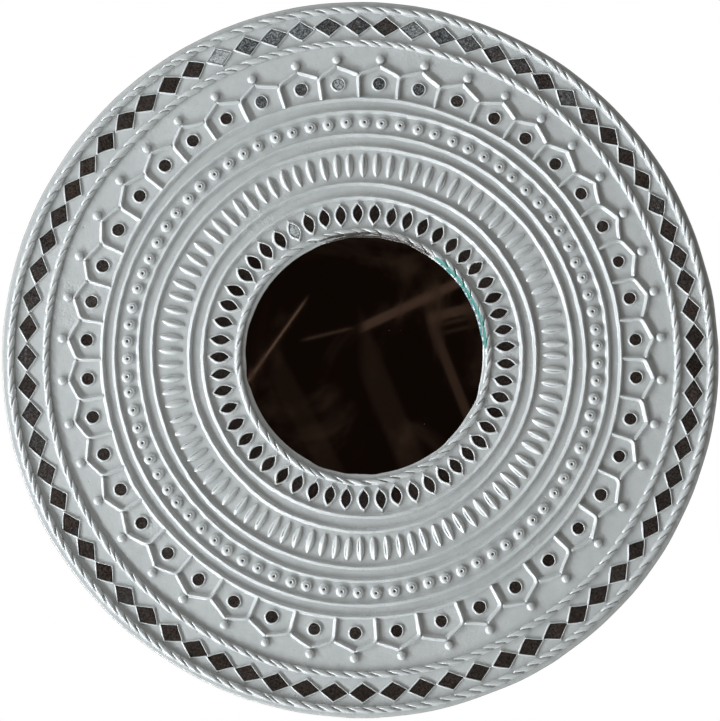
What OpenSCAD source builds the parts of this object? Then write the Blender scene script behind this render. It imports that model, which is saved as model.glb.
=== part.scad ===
// Round wall mirror in mud-and-mirror relief: a clay skin on a wooden disc, with clay coils, ropes, dots,
// petals and house cells, small mirror chips, and a larger round mirror in the middle. It hangs by two wire
// rings on the back. All sizes are in millimetres.
//
// Each module is drawn lying down and on_wall() stands it up. Lying down, x is to the viewer's right, y is up
// the wall, and z is the distance out from the wall. Stood up, x stays, up is +Z and the front faces -Y.
// The origin is the middle of the plane that the felt pads touch.

/* [Board and pads] */
// Thickness of the wooden backing board
board_t = 12; // [6:1:25]
// Width of the plain rim outside the outer rope
rim_w = 4.2; // [3:0.2:12]
// Radius of the rounded outer edge of the clay
rim_round = 3.6; // [1:0.2:8]
// Thickness of the felt pads, which is also the room for the hangers
pad_t = 6; // [5.8:0.2:12]
// Diameter of each felt pad
pad_d = 22; // [12:1:40]
// Distance from the board's edge to a pad
pad_inset = 17; // [4:1:40]
// Number of felt pads round the edge, besides the one in the middle
pad_count = 4; // [3:1:8]
// Where the first of those stands, anticlockwise from straight up as the viewer in front sees it
pad_turn = 45; // [0:5:90]

/* [Centre mirror] */
// Diameter of the opening in the clay, where the mirror shows
opening_d = 198; // [120:1:300]
// How far the opening sits off the middle of the rings
opening_shift = 1.4; // [0:0.1:2]
// Direction of that shift, anticlockwise from the viewer's right
opening_shift_angle = 32; // [0:1:359]
// How far the mirror reaches under the clay lip
mirror_lap = 5; // [2:0.5:10]
// Thickness of the centre mirror
mirror_t = 3; // [2:0.5:6]
// Gap between the mirror's edge and the clay
mirror_clear = 0.3; // [0.1:0.1:1]
// Thickness of the adhesive dabs behind the mirror
dab_t = 0.8; // [0.3:0.1:3]
// Diameter of each dab
dab_d = 24; // [10:1:36]
// Distance from the mirror's edge to a dab
dab_inset = 20; // [2:1:30]
// Number of dabs in the ring round the middle one
dab_count = 4; // [3:1:6]

/* [Clay lip] */
// Thickness of the clay lip in front of the mirror
lip_t = 2.2; // [1:0.2:6]
// Width of the lip from the opening to the centre rope
lip_w = 2.8; // [2.4:0.2:10]
// Radius of the lip's rounded inner edge
lip_round = 1.2; // [0.4:0.1:3]
// How far the lip reaches beyond the centre rope and the mirror's pocket
lip_margin = 1; // [0.5:0.25:3]

/* [Clay ropes] */
// Width of the centre rope
centre_rope_w = 6; // [3:0.2:10]
// Height of the centre rope
centre_rope_h = 4.4; // [2:0.2:8]
// Distance along the centre rope from one strand mark to the next
centre_rope_lay = 12; // [8:0.5:20]
// Width of the band rope, inside the diamonds
band_rope_w = 6; // [3:0.2:10]
// Height of the band rope
band_rope_h = 4.2; // [2:0.2:8]
// Distance along the band rope from one strand mark to the next
band_rope_lay = 12.1; // [11:0.5:20]
// Width of the outer rope
outer_rope_w = 6.4; // [3:0.2:10]
// Height of the outer rope
outer_rope_h = 4.6; // [2:0.2:8]
// Distance along the outer rope from one strand mark to the next
outer_rope_lay = 12.85; // [11.5:0.5:20]

/* [Clay coils] */
// Width of a rolled clay coil
coil_w = 4.2; // [2:0.2:8]
// How far a coil is pressed down into the ground, as seen from its round section
coil_press = 0.9; // [0.6:0.1:1.9]
// Clear ground from the eye mirrors to the first coil
eye_to_coil = 4.2; // [1:0.2:12]
// Width of the trough in the pair of coils round the eyes
eye_trough_w = 7.3; // [2:0.1:16]
// Width of the trough in the pair of coils between seeds and dots
seed_trough_w = 6.8; // [2:0.1:16]
// Width of the trough in the pair of coils between dots and cells
dot_trough_w = 6.3; // [2:0.1:16]

/* [Seed petals] */
// Length of a seed petal
seed_len = 21; // [10:0.5:34]
// Width of a seed petal
seed_w = 6.8; // [3:0.1:9]
// Space between neighbouring petals at mid length
seed_space = 4.3; // [2.4:0.1:12]
// Clear ground inside the ring of petals
seed_gap_in = 3; // [0.6:0.1:8]
// Clear ground outside the ring of petals
seed_gap_out = 2.3; // [0.6:0.1:8]
// Where the first petal stands, anticlockwise from straight up
seed_turn = 3.5; // [-180:0.1:180]

/* [Clay dots] */
// Diameter of a dot
dot_d = 10; // [5:0.5:14]
// Height of a dot
dot_h = 3.4; // [1.6:0.1:4.4]
// Space between neighbouring dots
dot_space = 4.6; // [1:0.1:12]
// Clear ground on each side of the ring of dots
dot_side_gap = 2.9; // [0.6:0.1:8]
// Diameter of the pin prick at its mouth
prick_d = 1.8; // [0.8:0.1:3]
// Depth of the pin prick
prick_depth = 1.6; // [0.6:0.1:2.4]
// Where the first dot stands, anticlockwise from straight up
dot_turn = 3.8; // [-180:0.1:180]

/* [House cells] */
// Width of a cell along the coil that it stands on
cell_w = 31.6; // [24:0.2:44]
// Height of a cell's side walls, from the middle of that coil
cell_wall_len = 20; // [17:0.5:32]
// Width of the thinner coils that a cell is made of
cell_coil_w = 3.8; // [2:0.2:6]
// How much the pressed joints of those coils swell out beyond the coil, all round
joint_swell = 0.3; // [0.1:0.05:0.6]
// Rise of the roof from the walls to the point
roof_rise = 8; // [3:0.5:14]
// Diameter of a tip ball
tip_ball_d = 7.3; // [4:0.1:11]
// How far a tip ball is pressed down, as seen from its round shape
tip_ball_press = 2.8; // [1:0.1:3.4]
// Gap between the roof's point and its ball
tip_ball_gap = 0.1; // [0.05:0.05:2]
// Clear ground from the tip balls to the band rope
ball_to_rope = 6.4; // [1:0.2:16]
// Where the first cell stands, anticlockwise from straight up
cell_turn = 4.1; // [-180:0.1:180]

/* [Mirror chips] */
// Thickness of the glass that the chips are cut from
chip_t = 2; // [1:0.2:4]
// Length of an eye mirror, out from the middle
eye_len = 15; // [8:0.5:26]
// Width of an eye mirror
eye_w = 7.7; // [4:0.1:7.8]
// Space between neighbouring eyes at mid length
eye_space = 6.4; // [2:0.1:14]
// Clear ground from the centre rope to the eyes
eye_gap = 4.4; // [0.6:0.2:12]
// Where the first eye stands, anticlockwise from straight up
eye_turn = 2.5; // [-180:0.1:180]
// Diameter of a round mirror
round_d = 10; // [6:0.5:13]
// Clear ground from the cell's coil to the round mirror
round_gap = 5.6; // [1:0.2:7]
// Size of a diamond along the ring, tip to tip
diamond_w = 22.5; // [10:0.5:34]
// Size of a diamond across the ring, tip to tip
diamond_h = 15.6; // [8:0.2:28]
// Space between the tips of neighbouring diamonds
diamond_space = 1.4; // [0.6:0.1:8]
// Clear ground from the band rope to the diamonds
diamond_gap_in = 4.2; // [0.6:0.1:10]
// Clear ground from the diamonds to the outer rope
diamond_gap_out = 2.6; // [0.6:0.1:10]
// Where the first diamond stands, anticlockwise from straight up
diamond_turn = 1.8; // [-180:0.1:180]

/* [Hangers] */
// Distance of each hanger from the middle, sideways
hanger_x = 165; // [60:5:190]
// Height of the rings' hinge above the middle
hanger_z = 140; // [40:5:160]
// Thickness of the strap's steel
strap_t = 1; // [0.6:0.1:1.5]
// Width of the strap
strap_w = 13; // [10:0.5:16]
// Diameter of the ring's wire
ring_wire = 2.5; // [1.6:0.1:3]
// Clear width inside the ring
ring_inner_w = 20; // [18.5:0.5:30]
// Length of the ring's straight sides
ring_leg = 6; // [4:0.5:14]
// Radius of the bends beside the ring's hinge bar, at the middle of the wire
ring_bend = 2.5; // [1.8:0.1:3.4]
// Running clearance between the hinge bar and the strap's knuckle
hinge_clear = 0.08; // [0.03:0.01:0.1]
// Gap between the strap and the ring lying on it
ring_rest_gap = 0.35; // [0.3:0.05:0.6]
// Diameter of the hanger screw's shank
screw_d = 4; // [3:0.5:5]
// Depth of the screw in the board
screw_depth = 10; // [3:0.5:11]
// Diameter of the screw's head
screw_head_d = 8; // [7:0.5:10]
// Height of the screw's head
screw_head_h = 2.4; // [1.4:0.2:3.6]
// Play of the screw's shank in the strap
screw_play = 0.25; // [0.1:0.05:0.5]
// Gap between the ring at rest and the screw's head
ring_to_screw = 1.5; // [0.5:0.5:6]

/* [Hidden] */

clay_colour = [0.72, 0.75, 0.76];
glass_colour = [0.16, 0.14, 0.13];
wood_colour = [0.62, 0.47, 0.31];
steel_colour = [0.70, 0.70, 0.68];

// Levels above the wall, from the back to the front
board_z = pad_t;
ground_z = board_z + board_t;
mirror_z = ground_z + dab_t;
lip_z = mirror_z + mirror_t;
face_z = lip_z + lip_t;

// Radii of the rings, from the opening outwards, each at the middle of its own band
opening_r = opening_d / 2;
mirror_r = opening_r + mirror_lap;
centre_rope_r = opening_r + lip_w + centre_rope_w / 2;
// The lip is centred on the opening and the rope on the rings, so the lip reaches further by the shift
rope_foot_r = centre_rope_r + centre_rope_w / 2 + opening_shift;
lip_outer_r = max(rope_foot_r, mirror_r + mirror_clear) + lip_margin;
eye_r = centre_rope_r + centre_rope_w / 2 + eye_gap + eye_len / 2;
eye_inner_coil_r = eye_r + eye_len / 2 + eye_to_coil + coil_w / 2;
eye_outer_coil_r = eye_inner_coil_r + coil_w + eye_trough_w;
seed_r = eye_outer_coil_r + coil_w / 2 + seed_gap_in + seed_len / 2;
seed_outer_coil_r = seed_r + seed_len / 2 + seed_gap_out + coil_w / 2;
dot_inner_coil_r = seed_outer_coil_r + coil_w + seed_trough_w;
dot_r = dot_inner_coil_r + coil_w / 2 + dot_side_gap + dot_d / 2;
dot_outer_coil_r = dot_r + dot_d / 2 + dot_side_gap + coil_w / 2;
cell_base_r = dot_outer_coil_r + coil_w + dot_trough_w;
cell_count = floor(2 * PI * cell_base_r / cell_w);
// Half of the angle that one cell takes
half_cell = 180 / cell_count;
round_r = cell_base_r + coil_w / 2 + round_gap + round_d / 2;
shoulder_r = cell_base_r + cell_wall_len;
apex_r = shoulder_r + roof_rise;
joint_r = cell_coil_w / 2 + joint_swell;
tip_ball_r = apex_r + joint_r + tip_ball_gap + tip_ball_d / 2;
band_rope_r = tip_ball_r + tip_ball_d / 2 + ball_to_rope + band_rope_w / 2;
diamond_r = band_rope_r + band_rope_w / 2 + diamond_gap_in + diamond_h / 2;
outer_rope_r = diamond_r + diamond_h / 2 + diamond_gap_out + outer_rope_w / 2;
board_r = outer_rope_r + outer_rope_w / 2 + rim_w;

// How many pieces fit round each ring
eye_count = floor(2 * PI * eye_r / (eye_w + eye_space));
seed_count = floor(2 * PI * seed_r / (seed_w + seed_space));
dot_count = floor(2 * PI * dot_r / (dot_d + dot_space));
diamond_count = floor(2 * PI * diamond_r / (diamond_w + diamond_space));

// Height of a coil's middle above the ground
coil_rise = coil_w / 2 - coil_press;
cell_coil_rise = cell_coil_w / 2 - coil_press;
// Fillets kept within the clay that carries them
lip_fillet = min(lip_round, lip_w - opening_shift, lip_t);
rim_fillet = min(rim_round, rim_w, face_z - ground_z);

// Half width of the ring at the middle of its wire
ring_half_w = (ring_inner_w + ring_wire) / 2;
// Distance from the board's back to the middle of the hinge bar
hinge_rise = strap_t + ring_rest_gap + ring_wire / 2;
hinge_bore_r = ring_wire / 2 + hinge_clear;
// Distance from the hinge bar to the screw
screw_drop = ring_leg + ring_half_w + ring_wire / 2 + ring_to_screw + screw_head_d / 2;

// Room that a cutter runs past what it cuts
past = 1;

$fn = 48;

// Stands a lying piece up against the wall
module on_wall() {
    rotate([90, 0, 0]) children();
}

// Moves a piece by the opening's shift off the middle of the rings
module at_opening() {
    shift_x = opening_shift * cos(opening_shift_angle);
    shift_y = opening_shift * sin(opening_shift_angle);
    translate([shift_x, shift_y, 0]) children();
}

// Copies a piece round the middle, each facing outwards along its own x axis, the first one turned from
// straight up
module around(count, radius, turn = 0) {
    for (i = [0 : count - 1]) {
        rotate(90 + turn + i * 360 / count) translate([radius, 0, 0]) children();
    }
}

// Section of a rolled coil pressed on the ground: a twelve-sided circle cut flat at its foot
module coil_section() {
    intersection() {
        translate([0, coil_rise]) circle(d = coil_w, $fn = 12);
        translate([-coil_w, 0]) square([2 * coil_w, 2 * coil_w]);
    }
}

// One plain coil laid as a ring
module ring_coil(radius) {
    color(clay_colour) on_wall() translate([0, 0, face_z])
        rotate_extrude() translate([radius, 0]) coil_section();
}

module eye_inner_coil() {
    ring_coil(eye_inner_coil_r);
}

module eye_outer_coil() {
    ring_coil(eye_outer_coil_r);
}

module seed_outer_coil() {
    ring_coil(seed_outer_coil_r);
}

module dot_inner_coil() {
    ring_coil(dot_inner_coil_r);
}

module dot_outer_coil() {
    ring_coil(dot_outer_coil_r);
}

module cell_base_coil() {
    ring_coil(cell_base_r);
}

// The points across a rope, from its inner to its outer foot, as shares of its half width
rope_across = [-1, -0.66, -0.22, 0.22, 0.66, 1];
// Rings of points for each strand mark
rope_steps = 3;
// Depth of the groove between two strands, as a share of the rope's height
rope_groove = 0.34;

// Height of a twisted rope at a place across it and a count of marks along it: a rounded back with grooves
// that run slantwise, one mark further along at the outer foot than at the inner foot
function rope_height(across, marks, height) =
    height * sqrt(1 - across * across)
    * (1 - rope_groove * (1 - abs(sin(180 * (marks - across / 2)))));

// A closed ring of two clay strands twisted together, flat on the ground
module rope_ring(radius, width, height, lay) {
    marks = round(2 * PI * radius / lay);
    rows = marks * rope_steps;
    columns = len(rope_across);
    points = [for (row = [0 : rows - 1], share = rope_across)
        let (angle = 360 * row / rows, r = radius + share * width / 2)
        [r * cos(angle), r * sin(angle), rope_height(share, row / rope_steps, height)]];
    function at(row, column) = (row % rows) * columns + column;
    backs = [for (row = [0 : rows - 1], column = [0 : columns - 2])
        each [[at(row, column), at(row + 1, column), at(row + 1, column + 1)],
            [at(row, column), at(row + 1, column + 1), at(row, column + 1)]]];
    feet = [for (row = [0 : rows - 1])
        each [[at(row, 0), at(row, columns - 1), at(row + 1, columns - 1)],
            [at(row, 0), at(row + 1, columns - 1), at(row + 1, 0)]]];
    color(clay_colour) on_wall() translate([0, 0, face_z])
        polyhedron(points = points, faces = concat(backs, feet));
}

// The wooden disc, with a blind pilot hole for each hanger screw
module backing_board() {
    color(wood_colour) on_wall() difference() {
        translate([0, 0, board_z]) cylinder(h = board_t, r = board_r, $fn = 128);
        for (side = [-1, 1]) {
            translate([side * hanger_x, hanger_z - screw_drop, board_z - past])
                cylinder(h = screw_depth + past, d = screw_d);
        }
    }
}

// Region between a square corner and its fillet, to be cut away; the corner is at the origin, the solid lies
// towards -x and -y
module fillet_cut(radius) {
    difference() {
        translate([-radius, -radius]) square(radius + past);
        translate([-radius, -radius]) circle(r = radius);
    }
}

// The clay skin: a rounded outer edge, a pocket for the mirror and a rebate for the lip
module clay_ground() {
    color(clay_colour) on_wall() difference() {
        translate([0, 0, ground_z]) cylinder(h = face_z - ground_z, r = board_r, $fn = 128);
        translate([0, 0, face_z]) rotate_extrude($fn = 128) translate([board_r, 0]) fillet_cut(rim_fillet);
        at_opening() {
            translate([0, 0, ground_z - past]) cylinder(h = face_z - ground_z, r = mirror_r + mirror_clear);
            translate([0, 0, lip_z]) cylinder(h = lip_t + past, r = lip_outer_r);
        }
    }
}

// The clay ring laid over the mirror's edge once the mirror is in, flush with the ground
module clay_lip() {
    color(clay_colour) on_wall() at_opening() rotate_extrude() difference() {
        translate([opening_r, lip_z]) square([lip_outer_r - opening_r, lip_t]);
        translate([opening_r, face_z]) mirror([1, 0]) fillet_cut(lip_fillet);
    }
}

// The round mirror in the middle
module centre_mirror() {
    color(glass_colour) on_wall() at_opening() translate([0, 0, mirror_z])
        cylinder(h = mirror_t, r = mirror_r);
}

// Flattened dabs that hold the mirror to the board
module mirror_adhesive() {
    color("white") on_wall() at_opening() translate([0, 0, ground_z]) {
        cylinder(h = dab_t, d = dab_d);
        around(dab_count, mirror_r - dab_inset - dab_d / 2) cylinder(h = dab_t, d = dab_d);
    }
}

module centre_rope() {
    rope_ring(centre_rope_r, centre_rope_w, centre_rope_h, centre_rope_lay);
}

module band_rope() {
    rope_ring(band_rope_r, band_rope_w, band_rope_h, band_rope_lay);
}

module outer_rope() {
    rope_ring(outer_rope_r, outer_rope_w, outer_rope_h, outer_rope_lay);
}

// Outline of a pointed oval, long along x: two equal arcs through both tips
module pointed_oval(length, width) {
    arc_r = (length * length + width * width) / (4 * width);
    intersection() {
        translate([0, width / 2 - arc_r]) circle(r = arc_r, $fn = 96);
        translate([0, arc_r - width / 2]) circle(r = arc_r, $fn = 96);
    }
}

// Pointed oval mirror chips, long way out from the middle
module eye_mirrors() {
    color(glass_colour) on_wall() translate([0, 0, face_z])
        around(eye_count, eye_r, eye_turn) linear_extrude(chip_t) pointed_oval(eye_len, eye_w);
}

// Raised spindles, flat at the foot: a pointed oval turned half a turn about its long axis
module seed_petals() {
    color(clay_colour) on_wall() translate([0, 0, face_z]) around(seed_count, seed_r, seed_turn)
        rotate([90, 0, 90]) rotate_extrude(angle = 180) intersection() {
            rotate(90) pointed_oval(seed_len, seed_w);
            translate([0, -seed_len]) square([seed_w, 2 * seed_len]);
        }
}

// Flattened balls, each with a pin prick
module clay_dots() {
    ball_r = (dot_d * dot_d / 4 + dot_h * dot_h) / (2 * dot_h);
    color(clay_colour) on_wall() translate([0, 0, face_z]) around(dot_count, dot_r, dot_turn) difference() {
        intersection() {
            translate([0, 0, dot_h - ball_r]) sphere(r = ball_r);
            translate([0, 0, dot_h / 2]) cube([2 * dot_d, 2 * dot_d, dot_h], center = true);
        }
        translate([0, 0, dot_h - prick_depth]) cylinder(h = prick_depth, d1 = prick_d / 4, d2 = prick_d);
    }
}

// A straight coil from one point to another, round all over
module straight_coil(from, to) {
    run = to - from;
    translate([from.x, from.y, cell_coil_rise]) rotate(atan2(run.y, run.x)) rotate([0, 90, 0])
        cylinder(h = norm(run), d = cell_coil_w);
}

// The swelling where coils are pressed together
module joint_ball(place) {
    translate([place.x, place.y, cell_coil_rise]) sphere(r = joint_r);
}

// One cell's share of the ring, from the ground up
module cell_wedge() {
    reach = 2 * apex_r;
    half_reach = reach * sin(half_cell);
    linear_extrude(2 * coil_w)
        polygon([[0, 0], [reach * cos(half_cell), -half_reach], [reach * cos(half_cell), half_reach]]);
}

// The roofs of all the cells: a bent coil each, from shoulder to point to shoulder
module cell_roofs() {
    point = [apex_r, 0];
    left = shoulder_r * [cos(half_cell), sin(half_cell)];
    right = [left.x, -left.y];
    color(clay_colour) on_wall() translate([0, 0, face_z]) around(cell_count, 0, cell_turn) difference() {
        intersection() {
            union() {
                straight_coil(point, left);
                straight_coil(point, right);
                joint_ball(point);
            }
            cell_wedge();
        }
        joint_ball(left);
        joint_ball(right);
    }
}

// The short coils between neighbouring cells, each with the joint at its shoulder, cut to fit the base coil
module cell_walls() {
    foot = [cell_base_r, 0];
    shoulder = [shoulder_r, 0];
    color(clay_colour) on_wall() translate([0, 0, face_z])
        around(cell_count, 0, cell_turn + half_cell) difference() {
            intersection() {
                union() {
                    straight_coil(foot, shoulder);
                    joint_ball(shoulder);
                }
                cell_wedge();
            }
            translate([cell_base_r, 0, coil_rise]) rotate([90, 0, 0])
                cylinder(h = 4 * coil_w, d = coil_w, center = true);
        }
}

// Round mirror chips, one in each cell
module round_mirrors() {
    color(glass_colour) on_wall() translate([0, 0, face_z])
        around(cell_count, round_r, cell_turn) cylinder(h = chip_t, d = round_d);
}

// Small balls pressed on the ground outside the roofs' points
module tip_balls() {
    color(clay_colour) on_wall() translate([0, 0, face_z]) around(cell_count, tip_ball_r, cell_turn)
        intersection() {
            translate([0, 0, tip_ball_d / 2 - tip_ball_press]) sphere(d = tip_ball_d);
            translate([0, 0, tip_ball_d]) cube(2 * tip_ball_d, center = true);
        }
}

// Diamond mirror chips, tip to tip round the band
module diamond_mirrors() {
    half_across = diamond_h / 2;
    half_along = diamond_w / 2;
    color(glass_colour) on_wall() translate([0, 0, face_z]) around(diamond_count, diamond_r, diamond_turn)
        linear_extrude(chip_t)
            polygon([[-half_across, 0], [0, -half_along], [half_across, 0], [0, half_along]]);
}

// Pads on the back, one in the middle and the others near the edge
module felt_pads() {
    color("dimgray") on_wall() {
        cylinder(h = pad_t, d = pad_d);
        around(pad_count, board_r - pad_inset - pad_d / 2, pad_turn) cylinder(h = pad_t, d = pad_d);
    }
}

// Puts a hanger's piece at its place: the middle of the hinge bar is at the piece's own origin, and the board
// is towards +z
module at_hanger(side) {
    translate([side * hanger_x, hanger_z, board_z - hinge_rise]) children();
}

// Steel strap: a plate flat on the board, a knuckle rolled round the ring's bar, and a screw hole
module strap(side) {
    plate_z = hinge_rise - strap_t;
    color(steel_colour) on_wall() at_hanger(side) difference() {
        union() {
            rotate([0, 90, 0]) cylinder(h = strap_w, r = hinge_bore_r + strap_t, center = true);
            translate([-strap_w / 2, -screw_drop, plate_z]) cube([strap_w, screw_drop, strap_t]);
            translate([0, -screw_drop, plate_z]) cylinder(h = strap_t, d = strap_w);
        }
        rotate([0, 90, 0]) cylinder(h = strap_w + 2 * past, r = hinge_bore_r, center = true);
        translate([0, -screw_drop, plate_z - past])
            cylinder(h = strap_t + 2 * past, d = screw_d + 2 * screw_play);
    }
}

module left_strap() {
    strap(-1);
}

module right_strap() {
    strap(1);
}

// Part of a ring of wire in the plane of the hanger, from one angle to another
module wire_arc(radius, from, to) {
    rotate(from) rotate_extrude(angle = to - from) translate([radius, 0]) circle(d = ring_wire);
}

// Wire ring: a straight bar in the knuckle, two bends, two sides and a half-round bow that hangs down
module wire_ring(side) {
    color(steel_colour) on_wall() at_hanger(side) union() {
        rotate([0, 90, 0]) cylinder(h = 2 * (ring_half_w - ring_bend), d = ring_wire, center = true);
        for (hand = [0, 1]) {
            mirror([hand, 0, 0]) {
                translate([ring_half_w - ring_bend, -ring_bend, 0]) wire_arc(ring_bend, 0, 90);
                translate([ring_half_w, -ring_leg, 0]) rotate([-90, 0, 0])
                    cylinder(h = ring_leg - ring_bend, d = ring_wire);
            }
        }
        translate([0, -ring_leg, 0]) wire_arc(ring_half_w, 180, 360);
    }
}

module left_ring() {
    wire_ring(-1);
}

module right_ring() {
    wire_ring(1);
}

// A pan-head wood screw in each strap, with a cross in its head
module hanger_screws() {
    cross_w = 0.9;
    cross_depth = screw_head_h / 2;
    tip_len = min(screw_d, screw_depth);
    tip_end_d = 0.6;
    dome_r = (screw_head_d * screw_head_d / 4 + screw_head_h * screw_head_h) / (2 * screw_head_h);
    color(steel_colour) on_wall() for (side = [-1, 1]) {
        translate([side * hanger_x, hanger_z - screw_drop, board_z - strap_t]) {
            difference() {
                intersection() {
                    translate([0, 0, dome_r - screw_head_h]) sphere(r = dome_r);
                    translate([0, 0, -screw_head_h]) cylinder(h = screw_head_h, d = screw_head_d + past);
                }
                for (turn = [45, 135]) {
                    rotate(turn) translate([0, 0, -screw_head_h])
                        cube([screw_head_d / 2, cross_w, 2 * cross_depth], center = true);
                }
            }
            cylinder(h = strap_t + screw_depth - tip_len, d = screw_d);
            translate([0, 0, strap_t + screw_depth - tip_len])
                cylinder(h = tip_len, d1 = screw_d, d2 = tip_end_d);
        }
    }
}

backing_board();
clay_ground();
clay_lip();
centre_mirror();
mirror_adhesive();
centre_rope();
eye_mirrors();
eye_inner_coil();
eye_outer_coil();
seed_petals();
seed_outer_coil();
dot_inner_coil();
clay_dots();
dot_outer_coil();
cell_base_coil();
cell_walls();
cell_roofs();
round_mirrors();
tip_balls();
band_rope();
diamond_mirrors();
outer_rope();
felt_pads();
left_strap();
right_strap();
left_ring();
right_ring();
hanger_screws();
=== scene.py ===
"""Looks of the mudwork mirror: hand-laid clay relief, mirror chips and hangers, dressed over the CAD frame.

Two sets of axes are used. The frame's are Blender's: x to the viewer's right, z up, and the front facing -Y.
Shapes are worked out on the panel's own axes, lying down: x right, y up the wall, and h out from the wall.
Angles run anticlockwise from the viewer's right. All lengths are metres, written as a number times MM.
"""

import logging
import math
from dataclasses import dataclass, field
from enum import Enum
from typing import Any, Mapping, Sequence, Union

import bmesh
import bpy
import numpy as np
from mathutils import Matrix, Vector


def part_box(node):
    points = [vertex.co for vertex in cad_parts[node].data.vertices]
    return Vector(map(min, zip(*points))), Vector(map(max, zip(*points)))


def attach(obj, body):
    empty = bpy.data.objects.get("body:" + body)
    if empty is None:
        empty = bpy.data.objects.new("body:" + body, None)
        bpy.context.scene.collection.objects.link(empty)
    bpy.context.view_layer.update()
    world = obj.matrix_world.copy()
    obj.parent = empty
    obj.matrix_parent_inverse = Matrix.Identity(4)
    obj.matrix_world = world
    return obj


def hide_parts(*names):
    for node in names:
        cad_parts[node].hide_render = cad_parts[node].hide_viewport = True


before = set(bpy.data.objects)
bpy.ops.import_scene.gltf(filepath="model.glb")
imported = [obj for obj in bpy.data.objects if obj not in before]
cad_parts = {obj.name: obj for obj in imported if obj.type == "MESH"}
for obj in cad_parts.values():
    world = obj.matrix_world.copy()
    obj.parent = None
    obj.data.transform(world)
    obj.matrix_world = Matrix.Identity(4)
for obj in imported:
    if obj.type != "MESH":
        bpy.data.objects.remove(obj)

MM = 0.001
TURN = 2 * math.pi
Array = np.ndarray
log = logging.getLogger("mudwork_mirror")

TILT = 0.022
"""Usual slope of a chip's face."""
BELL = 1.3
"""How far out a coil's section is drawn, in half widths of the coil."""
SUNK = 0.3 * MM
"""How far the foot of a piece of clay lies under the skin."""
WELD = 0.001 * MM
"""Points nearer to each other than this are made one."""


@dataclass
class Surface:
    """A batch of equal grids of points on the panel's axes, whose rows and columns turn right-handed out."""

    points: Array
    """Places, as (batch, rows, columns, 3)."""
    round_rows: bool = False
    round_columns: bool = False
    marks: dict[str, Array] = field(default_factory=dict)
    """Named numbers on the points that the finishes read, each as (batch, rows, columns)."""

    def faces(self) -> Array:
        """Works out the four corners of every face.

        Returns:
            Corner numbers, as (faces, 4), with the wrap-around faces of round rows and columns.
        """
        batch, rows, columns = self.points.shape[:3]
        row = np.arange(rows if self.round_rows else rows - 1)[:, None]
        column = np.arange(columns if self.round_columns else columns - 1)[None, :]
        below, beside = (row + 1) % rows, (column + 1) % columns
        corners = [row * columns + column, below * columns + column,
                   below * columns + beside, row * columns + beside]
        one = np.stack(np.broadcast_arrays(*corners), axis=-1).reshape(-1, 4)
        return (one[None] + (np.arange(batch) * rows * columns)[:, None, None]).reshape(-1, 4)


def linked(name: str, data: bpy.types.ID) -> bpy.types.Object:
    """Makes an object and puts it into the scene.

    Args:
        name: The object's name.
        data: Its mesh, lamp or lens.

    Returns:
        The object.
    """
    made = bpy.data.objects.new(name, data)
    bpy.context.scene.collection.objects.link(made)
    return made


def make_piece(name: str, surfaces: Sequence[Surface], finish: "Finish", stands_for: Sequence[str] = (),
               body: str = "panel", crease: float = 48.0) -> bpy.types.Object:
    """Turns surfaces into one Blender object that rides on a body of the frame.

    Args:
        name: The object's name.
        surfaces: The grids that make it up.
        finish: Its finish.
        stands_for: The CAD nodes that it replaces.
        body: The CAD body that carries it.
        crease: The angle in degrees past which an edge stays sharp.

    Returns:
        The object, at the origin, with its place in its mesh.
    """
    points = np.concatenate([s.points.reshape(-1, 3) for s in surfaces])
    sizes = [s.points[..., 0].size for s in surfaces]
    starts = np.concatenate([[0], np.cumsum(sizes)[:-1]])
    faces = np.concatenate([s.faces() + start for s, start in zip(surfaces, starts)])
    place = np.stack([points[:, 0], -points[:, 2], points[:, 1]], axis=1)
    mesh = bpy.data.meshes.new(name)
    mesh.vertices.add(len(place))
    mesh.vertices.foreach_set("co", place.astype(np.float32).ravel())
    mesh.loops.add(faces.size)
    mesh.loops.foreach_set("vertex_index", faces.astype(np.int32).ravel())
    mesh.polygons.add(len(faces))
    mesh.polygons.foreach_set("loop_start", np.arange(0, faces.size, 4, dtype=np.int32))
    mesh.update(calc_edges=True)
    for mark in sorted({m for s in surfaces for m in s.marks}):
        values = [np.broadcast_to(s.marks.get(mark, np.zeros(1)), s.points.shape[:3]).ravel()
                  for s in surfaces]
        layer = mesh.attributes.new(mark, "FLOAT", "POINT")
        layer.data.foreach_set("value", np.concatenate(values).astype(np.float32))
    merged = bmesh.new()
    merged.from_mesh(mesh)
    bmesh.ops.remove_doubles(merged, verts=merged.verts, dist=WELD)
    bmesh.ops.recalc_face_normals(merged, faces=merged.faces)
    merged.to_mesh(mesh)
    merged.free()
    mesh.shade_smooth()
    mesh.set_sharp_from_angle(angle=math.radians(crease))
    mesh.materials.append(finish.material())
    made = linked(name, mesh)
    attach(made, body)
    if stands_for:
        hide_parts(*stands_for)
    log.info("%s: %d faces, in place of %s", name, len(mesh.polygons), ", ".join(stands_for) or "nothing")
    return made


@dataclass(frozen=True)
class Band:
    """The room that a CAD node takes up, as seen round the middle of the rings."""

    inner: float
    outer: float
    foot: float
    top: float

    @classmethod
    def of(cls, node: str) -> "Band":
        """Reads a node's nearest and furthest radius, and its lowest and highest level out from the wall.

        Args:
            node: The CAD node's name.

        Returns:
            The band.
        """
        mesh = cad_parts[node].data
        co = np.empty(len(mesh.vertices) * 3, np.float32)
        mesh.vertices.foreach_get("co", co)
        co = co.reshape(-1, 3)
        radius = np.hypot(co[:, 0], co[:, 2])
        return cls(float(radius.min()), float(radius.max()), float(-co[:, 1].max()), float(-co[:, 1].min()))

    @property
    def middle(self) -> float:
        """Radius half way across the band."""
        return (self.inner + self.outer) / 2

    @property
    def width(self) -> float:
        """Distance across the band."""
        return self.outer - self.inner

    @property
    def height(self) -> float:
        """Distance from its lowest to its highest level."""
        return self.top - self.foot


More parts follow.
